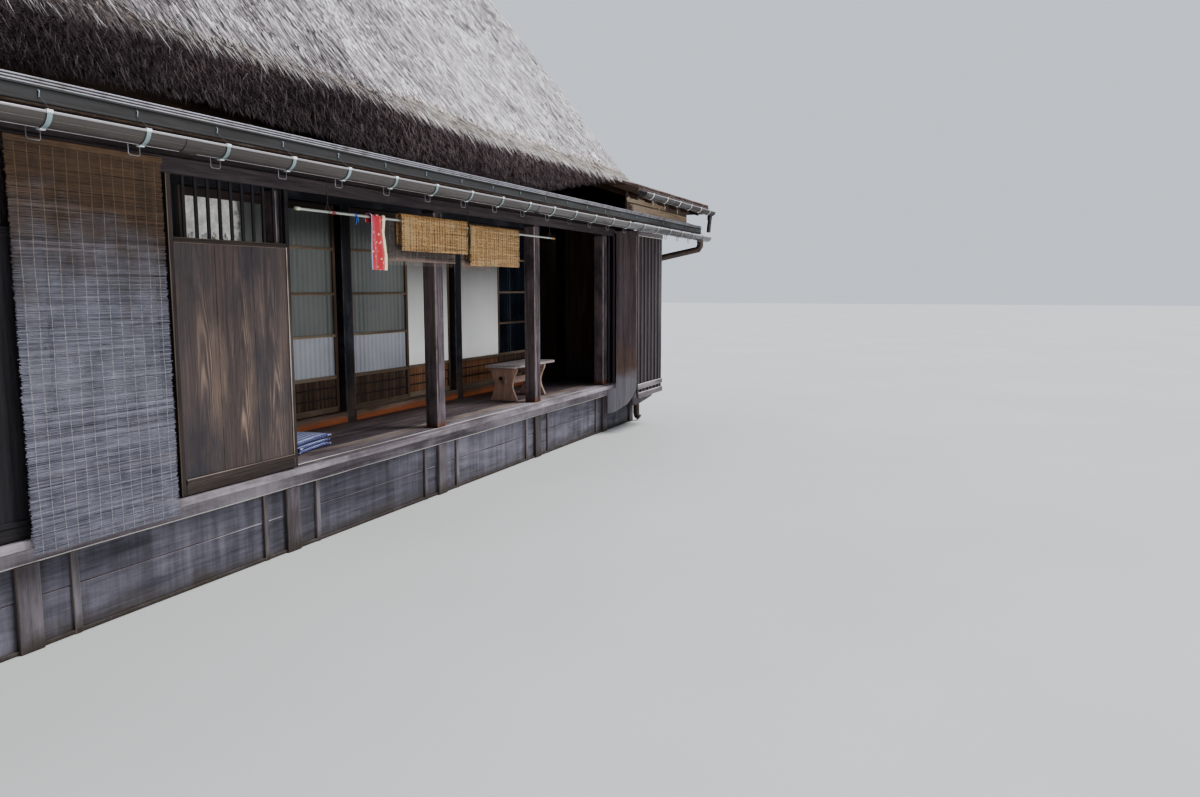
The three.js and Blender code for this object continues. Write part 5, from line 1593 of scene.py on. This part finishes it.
def battenWall(face, half, posts, holes, boards, levels):
    # boards with battens over their joints, posts, and rails at the given levels
    y = -face
    parts = []
    storeys = list(zip(levels, levels[1:]))
    count = int(half / boardPitch)
    for k in range(-count, count + 1):
        u = k * boardPitch
        right = min(half, u + boardPitch)
        for a, b in storeys:
            if not inHole(u - 0.02, u + 0.02, a + 0.02, b - 0.02, holes):
                parts.append(block((u - 0.018, y - 0.026, a), (u + 0.018, y - 0.008, b), [wallBatten, edgeZ],
                                   0.004))
            if right > u and not inHole(u + 0.02, right - 0.02, a + 0.02, b - 0.02, holes):
                parts.append(block((u + 0.001, y - 0.010 - random.uniform(0, 0.004), a),
                                   (right - 0.001, y + 0.001, b), [boards], 0.002))
    for z in levels:
        parts += blocks(railLooks, 0.006, [(left, y - 0.038, z - 0.035, right, y, z + 0.035)
                                           for left, right in spansAt(z, half, holes)], 20, 0.004)
    parts += blocks([wallPost, edgeZ], 0.008, [
        (u - 0.055, y - 0.046, a - 0.03, u + 0.055, y, b + 0.03) for u in posts for a, b in storeys
        if not inHole(u - 0.04, u + 0.04, a + 0.02, b - 0.02, holes)], 6, 0.004)
    return parts


def windowsIn(holes, face, reach, sillFace, cuts):
    # a paper window in each hole, over one long sill
    parts = [part for hole in holes for part in windowParts(*hole, face, 3, 4, sashPaper)]
    return parts + [block((-reach, -sillFace, 1.405), (reach, -face, 1.44), railLooks, 0.005, cuts, 0.003)]


random.seed(31)
endHoles = [(-1.76, -0.06, 1.45, 2.35), (0.06, 1.76, 1.45, 2.35)]
for name, side in ends:
    wall = battenWall(7.342, 4.60, (-4.55, -3.64, -1.87, 0, 1.87, 3.64, 4.55), endHoles, endBoards,
                      (0.46, 1.41, 2.39, 2.74))
    onSide(name, "endWall" + name, wall, "end_wall_" + name.lower())
    windows = windowsIn(endHoles, 7.345, 1.83, 7.44, 8)
    onSide(name, "endWindows" + name, windows, "side_windows_" + name.lower(), True)
backHoles = [(x - 0.83, x + 0.83, 1.45, 2.29) for x in (-3.64, 0.0, 3.64)]
wall = battenWall(4.612, 7.34, base["posts"], backHoles, backBoards, (0.49, 1.41, 2.33))
onSide("Back", "backWall", wall, "back_wall")
onSide("Back", "backWindows", windowsIn(backHoles, 4.615, 4.55, 4.70, 20), "back_windows", True)

# Base boards of the two ends
posts = (-4.49, -3.64, -1.82, 0.0, 1.82, 3.64, 4.49)
for name, side in ends:
    parts = []
    for left, right in zip(posts, posts[1:]):
        parts += blocks(boardLooks, 0.004, [(left, -7.312, 0.018, right, -7.299, 0.226),
                                            (left, -7.314, 0.229, right, -7.299, 0.418)], 6, 0.004)
    parts += blocks([basePostWood, edgeZ], 0.006, [(u - 0.06, -7.335, 0.0, u + 0.06, -7.30, 0.419)
                                                   for u in posts[1:-1]], 5, 0.004)
    onSide(name, "base" + name, parts, "skirt_" + name.lower())
print("walls made")

# Gables: upright boards between rails, paper windows, an awning of short planks, tied timber ends
gable = {"face": 5.521, "half": 3.62, "apex": 8.17, "pitch": 1.25, "board": 0.19, "top": 8.05,
         "rails": (3.60, 4.00, 4.60, 5.22, 5.66, 5.93, 6.62, 7.20, 7.68)}
gableHoles = [(-0.96, 0.96, 3.93, 5.03), (-0.82, -0.10, 5.91, 6.59), (0.10, 0.82, 5.91, 6.59),
              (-0.24, 0.24, 7.28, 7.58)]
gableWood = wood("gablePlanks", 2, "#422a1e", "#926242", "#887666", 0.35, 2.6,
                 boards=(1, gable["board"]), tones=0.6)
gableRail = wood("gableRails", 1, "#48362a", "#967e68", "#aaa094", 0.45)
gablePost = wood("gablePosts", 2, "#361e16", "#784832", "#786050", 0.25)
shingle = wood("shingle", 0, "#56504c", "#9c9690", "#b0aca8", 0.5)
whitePane = paperMaterial("whitePane", "#f0f0ec", 0.9)
rope, coords = newMaterial("strawRope")
level = noise(coords, 60, 3, 0.7)
shaded(mixed(spread(level, 0.3, 0.7), "#786246", "#ceba96"), 0.9, level, 0.8, 0.004)


def roofAt(u):
    return gable["apex"] - gable["pitch"] * abs(u)


def gableHalf(z):
    return min(gable["half"], (gable["apex"] - z) / gable["pitch"])


def gableBoardParts():
    y, step, levels = -gable["face"], gable["board"], gable["rails"]
    parts = []
    for a, b in zip(levels, levels[1:] + (gable["top"],)):
        reach = gableHalf(a)
        u = -int(reach / step + 1) * step
        while u < reach:
            left, right = max(u, -reach), min(u + step, reach)
            u += step
            if right - left < 0.02 or inHole(left + 0.02, right - 0.02, a + 0.03, b - 0.03, gableHoles):
                continue
            plank = block((left + 0.0015, y - 0.012 - random.uniform(0, 0.006), a),
                          (right - 0.0015, y + 0.001, b), [gableWood], 0.002)
            for vertex in plank.data.vertices:
                vertex.co.z = max(a - 0.02, min(vertex.co.z, roofAt(vertex.co.x)))
            parts.append(plank)
        parts += blocks([gableRail], 0.008, [
            (left, y - 0.050, a - 0.028, right, y, a + 0.028)
            for left, right in spansAt(a, gableHalf(a + 0.05), gableHoles)], 16, 0.006)
    parts += blocks([gablePost], 0.008, [
        (u - 0.055, y - 0.060, 3.59, u + 0.055, y, 5.05) for u in (-1.02, 1.02)], 6, 0.004)
    return parts + blocks([gablePost], 0.006, [
        (u - 0.04, y - 0.030, 3.6, u + 0.04, y, min(7.2, roofAt(u) - 0.05)) for u in (-2.1, 2.1)], 6, 0.003)


random.seed(17)
face = gable["face"]
boardsPiece = joined("gableBoardsRight", gableBoardParts())
parts = windowParts(-0.90, 0.90, 3.98, 4.98, face, 1, 1, whitePane)
parts.append(block((-0.86, -face - 0.014, 4.03), (0.86, -face - 0.004, 4.16), [gableWood], 0.002))
for k in range(13):
    # the awning's planks, each a little askew
    u = -1.05 + 0.1625 * k
    tilt = random.gauss(0, 0.012)
    parts.append(beam((u + 0.08 + tilt, -5.525, 5.150 + random.uniform(-0.004, 0.004)),
                      (u + 0.08 - tilt, -5.992 + random.uniform(-0.0, 0.03),
                       4.990 + random.uniform(-0.006, 0.006)),
                      0.155, 0.016, [shingle], 0.003, 3, 0.003))
for u in (-0.98, 0.98):
    parts.append(beam((u, -5.53, 4.80), (u, -5.94, 4.985), 0.05, 0.045, [gablePost], 0.006))
    parts.append(beam((u, -5.53, 5.115), (u, -5.97, 4.965), 0.05, 0.04, [gablePost], 0.006))
parts.append(block((-1.04, -5.93, 4.962), (1.04, -5.885, 4.995), railLooks, 0.006, 8, 0.004))
windowPiece = joined("gableWindowRight", parts)
parts = windowParts(-0.78, -0.14, 5.99, 6.53, face, 2, 3, whitePane)
parts += windowParts(0.14, 0.78, 5.99, 6.53, face, 2, 3, whitePane)
parts.append(block((-0.84, -5.585, 5.945), (0.84, -5.521, 5.985), railLooks, 0.005))
ventsPiece = joined("gableVentsRight", parts)

parts = []
for level in (4.27, 5.47, 6.67, 7.80):
    reach = 4.28 - (level - thatch["eave"]) / gable["pitch"] - 0.075
    for middle in (-reach, reach):
        for shift in (-0.03, 0.0, 0.03):
            angles = [2 * math.pi * k / 12 for k in range(13)]
            ring = [(middle + 0.085 * math.cos(a), -5.955 - shift + 0.01 * math.sin(a * 2),
                     level + 0.085 * math.sin(a)) for a in angles]
            parts.append(tube(ring, 0.014, rope, 6))
        for k in (-1, 0, 1):
            # the knot's loose ends
            drop = random.uniform(0.12, 0.22)
            u = middle + 0.03 * k
            parts.append(tube([(u, -5.97, level - 0.07),
                               (u + random.uniform(-0.05, 0.05), -5.99, level - 0.07 - drop)],
                              0.007, rope, 5))
tiesPiece = joined("vergeTiesRight", parts)
for piece, slot, replace in ((boardsPiece, "gable_wall_", False), (windowPiece, "gable_window_", True),
                             (ventsPiece, "gable_vents_", True), (tiesPiece, "verge_timbers_", False)):
    piece.data.transform(Matrix.Rotation(math.radians(sides["Right"]), 4, "Z"))
    onBothSides(piece, (slot + "right", slot + "left"), replace)
print("gables made")

# Ridge: a straw cover pinned by rods under the saddles
ridge = remeshed(mergedCopy("ridge_cap", "ridgeCover"), thatch["ridgeVoxel"])
roughened(ridge, 0.5, 0.03)
roughened(ridge, 0.12, 0.022)
coloured(ridge, (slopeStraw, cutStraw))
for face in ridge.data.polygons:
    face.material_index = 1 if face.normal.z < 0.05 else 0
finished(ridge, "ridge_cap")
for side, name in ((-1, "Front"), (1, "Back")):
    skin = facesOf(ridge, "skin", lambda face: face.material_index == 0 and face.center.y * side > -0.02)
    strewn(skin, "ridgeStraws" + name, strawModel((0, side * 0.62, -0.76), 0.24, 0.010), 4500,
           fringeStraw, 16, (0.18, 0.18, 0.22), slot="ridge_cap")
parts = []
for side in (-1, 1):
    for away in (0.22, 0.47, 0.71):
        line = [(x, side * (away + 0.008 * math.sin(x * 2.3)), 9.262 - gable["pitch"] * away
                 + 0.006 * math.sin(x * 3.1)) for x in [-6.10 + 12.2 * k / 24 for k in range(25)]]
        parts.append(tube(line, 0.017, wallBatten, 8))
finished(joined("ridgeRods", parts), "ridge_cap", False)
print("ridge made")


# Timbers and walls that keep their shape: worn edges and a finish for each
def frameMaterial(name, span, dark, light, face, worn, foot=None, wear=0.25, bright=None, beams=0.0,
                  zone=None):
    # grain runs up the posts between the two heights of span and along the beams elsewhere;
    # face is the darker pair of tones on the sides that look outwards, and dark and light may be painted
    # paler to stand for the light on the other sides;
    # bright is the tone of worn corners; beams darkens the beams; zone and foot are (colour, height,
    # softness) of a second tone below that height
    material, coords = newMaterial(name)
    up = split(coords)[2]
    post = times(calc("GREATER_THAN", up, span[0]), calc("LESS_THAN", up, span[1]))
    vector = node("ShaderNodeMix", {
        0: post, 4: stretched(coords, (1, 26, 26)), 5: stretched(coords, (26, 26, 1))},
        data_type="VECTOR").outputs[1]
    grain = grained(vector, dark, light)
    colour = mixed(timesPlus(post, -beams, beams), grain["Color"], "#181517")
    if face:
        toFront = calc("ABSOLUTE", split(node("ShaderNodeNewGeometry").outputs["Normal"])[1])
        shown = times(spread(toFront, 0.6, 0.9), timesPlus(post, 0.9, 0.1))
        colour = mixed(shown, colour, grained(vector, *face, 0.82)["Color"])
    colour = weathered(colour, worn, coords, 3.0, wear)["Color"]
    for stain in [part for part in (zone, foot) if part]:
        low = mixed(grain["Height"], tint(stain[0], 0.5), stain[0])
        colour = faded(low, colour, coords, *stain[1:])
    if bright:
        colour = placed(edgeWear, {"Color": colour, "Worn": bright, "Vector": coords,
                                   "Amount": times(post, 0.9)})["Color"]
    shaded(colour, spread(grain["Height"], 0, 1, 0.85, 0.6), grain["Height"], 0.6, 0.005,
           more={"Specular IOR Level": 0.35})
    return material


# painted light: the outer frame's grain tones are raised so that the post sides look lit, paler than the
# darker tones on the outward faces
outerFrame = frameMaterial("outerFrame", (0.57, 2.305), "#382f31", "#867575",
                           ("#221e21", "#72666b"), "#322c30", ("#70422e", 0.605, 0.06),
                           wear=0.4, bright="#968a86", beams=0.8)
innerFrame = frameMaterial("innerFrame", (0.65, 2.395), "#0e0e13", "#282830", None, "#46464e",
                           ("#564a44", 0.86, 0.22), bright="#5c5454")
rearFrame = frameMaterial("rearFrame", (0.65, 2.395), "#1a1411", "#42342b", None, "#544c46")
wallBoards, wallBoardsBack = (
    wood(name, 2, "#342822", "#705c4e", "#8a8078", 0.4, boards=(axis, boardPitch),
         low=("#6c6662", 0.75, 0.35)) for name, axis in (("wallBoards", 1), ("wallBoardsBack", 0)))
gableBoards = wood("gableBoards", 2, "#4a2c1a", "#9e643c", "#967a62", 0.4,
                   boards=(1, 0.21), tones=0.5)
insideBoards = wood("insideBoards", 0, "#1e1713", "#4a3a2f", "#5c4e44", 0.2, boards=(2, 0.24))
roomFloor = wood("roomFloor", 0, "#382a21", "#6e5642", "#7c6654", 0.3,
                 boards=(1, 0.182), rough=0.5)
poleWood = wood("roofPoles", 1, "#3e3024", "#7e664e", "#74685c", 0.3)
windowWood = wood("windowWood", 2, "#422c1e", "#886244", "#94806c", 0.35)
barkLook = wood("ridgeBark", 0, "#382e26", "#766656", "#887e70", 0.4,
                fibre=(3, 20), relief=0.9)
saddleWood = wood("saddleWood", 1, "#40362e", "#807264", "#928c84", 0.4)
boxEnd = frameMaterial("boxEndBoard", (0.0, 3.0), "#463e40", "#8e7e80", None, "#7c6e6c",
                       ("#bab4bb", 0.67, 0.16), bright="#968a80",
                       zone=("#927a70", 0.98, 0.34))
rafterWood = wood("roofRafters", 1, "#281f1a", "#564438", "#68605a", 0.25)

# each row is a material, the width of its worn edges and the nodes; a name ending in _ stands for both sides
dressed = (
    (slopeStraw, 0, "thatch_front thatch_back"), (barkLook, 0, "ridge_cap"),
    (basePostWood, 0.003, "skirt_front skirt_back"), (baseWood, 0.006, "skirt_"),
    (roomFloor, 0, "floor"), (roomFloor, 0.004, "attic_floor"), (insideBoards, 0.003, "inner_wall"),
    (outerFrame, 0.009, "front_frame"), (innerFrame, 0.008, "inner_frame"), (rearFrame, 0.008, "rear_frame"),
    (wallBoards, 0.004, "end_wall_"), (wallBoardsBack, 0.004, "back_wall"),
    (gableBoards, 0.003, "gable_wall_"),
    (windowWood, 0.003, "side_windows_ gable_vents_ back_windows"), (windowWood, 0.004, "gable_window_"),
    (poleWood, 0.008, "roof_poles_front roof_poles_back"), (saddleWood, 0.010, "verge_timbers_"),
    (saddleWood, 0.012, "ridge_saddles"), (rafterWood, 0, "pent_roof_front pent_roof_back"),
    (rafterWood, 0.003, "skirt_roof_"), (boxEnd, 0.004, "shutter_box_"))


def wornEdges(obj, width):
    settings = (("weld", "WELD", {"merge_threshold": weldDistance}),
                ("flat", "DECIMATE", {"decimate_type": "DISSOLVE", "angle_limit": math.radians(1)}),
                ("wear", "BEVEL", {"width": width, "segments": 1, "limit_method": "ANGLE",
                                   "angle_limit": smoothAngle}))
    for name, kind, values in settings:
        modifier = obj.modifiers.new(name, kind)
        for key, value in values.items():
            setattr(modifier, key, value)


for look, width, names in dressed:
    for stem in names.split():
        for name in (stem + "right", stem + "left") if stem.endswith("_") else (stem,):
            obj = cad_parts[name]
            obj.material_slots[0].material = look
            if width:
                wornEdges(obj, width)
print("timbers dressed")

# Floor, light and the closing calls
stage = {"floor": "#c4c4c2", "patch": "#cacac8", "size": 200, "down": -0.002, "sun": 3.0,
         "sunTurn": (38, 14, 20), "sunAngle": 25, "sky": 0.75, "skyColour": (0.83, 0.89, 0.98, 1),
         "fill": 300,
         "fillPlace": (-1, -13.5, 0.6), "fillTurn": (117, 0, -8), "fillSize": (16, 1.2), "fillSpread": 64}


def light(kind, energy, turn, place=(0, 0, 0)):
    bpy.ops.object.light_add(type=kind, location=place, rotation=[math.radians(angle) for angle in turn])
    lamp = bpy.context.object
    lamp.data.energy = energy
    return lamp


clearSelection()
bpy.ops.mesh.primitive_plane_add(size=stage["size"], location=(0, 0, stage["down"]))
ground = bpy.context.object
ground.name = "floorPlane"
groundLook, coords = newMaterial("paleFloor")
soft = spread(noise(coords, 0.4, 3), 0.3, 0.7)
shaded(mixed(soft, stage["floor"], stage["patch"]), 0.9)
coloured(ground, [groundLook])

light("SUN", stage["sun"], stage["sunTurn"]).data.angle = math.radians(stage["sunAngle"])
# A long soft light low in front reaches the cut underside of the thatch
fill = light("AREA", stage["fill"], stage["fillTurn"], stage["fillPlace"])
fill.data.shape = "RECTANGLE"
fill.data.size, fill.data.size_y = stage["fillSize"]
fill.data.spread = math.radians(stage["fillSpread"])
fill.visible_camera = False
sky = bpy.data.worlds.new("softSky")
bpy.context.scene.world = sky
sky.use_nodes = True
background = sky.node_tree.nodes["Background"].inputs
background[0].default_value = stage["skyColour"]
background[1].default_value = stage["sky"]
bpy.context.scene.view_settings.look = "AgX - Medium High Contrast"

clearSelection()
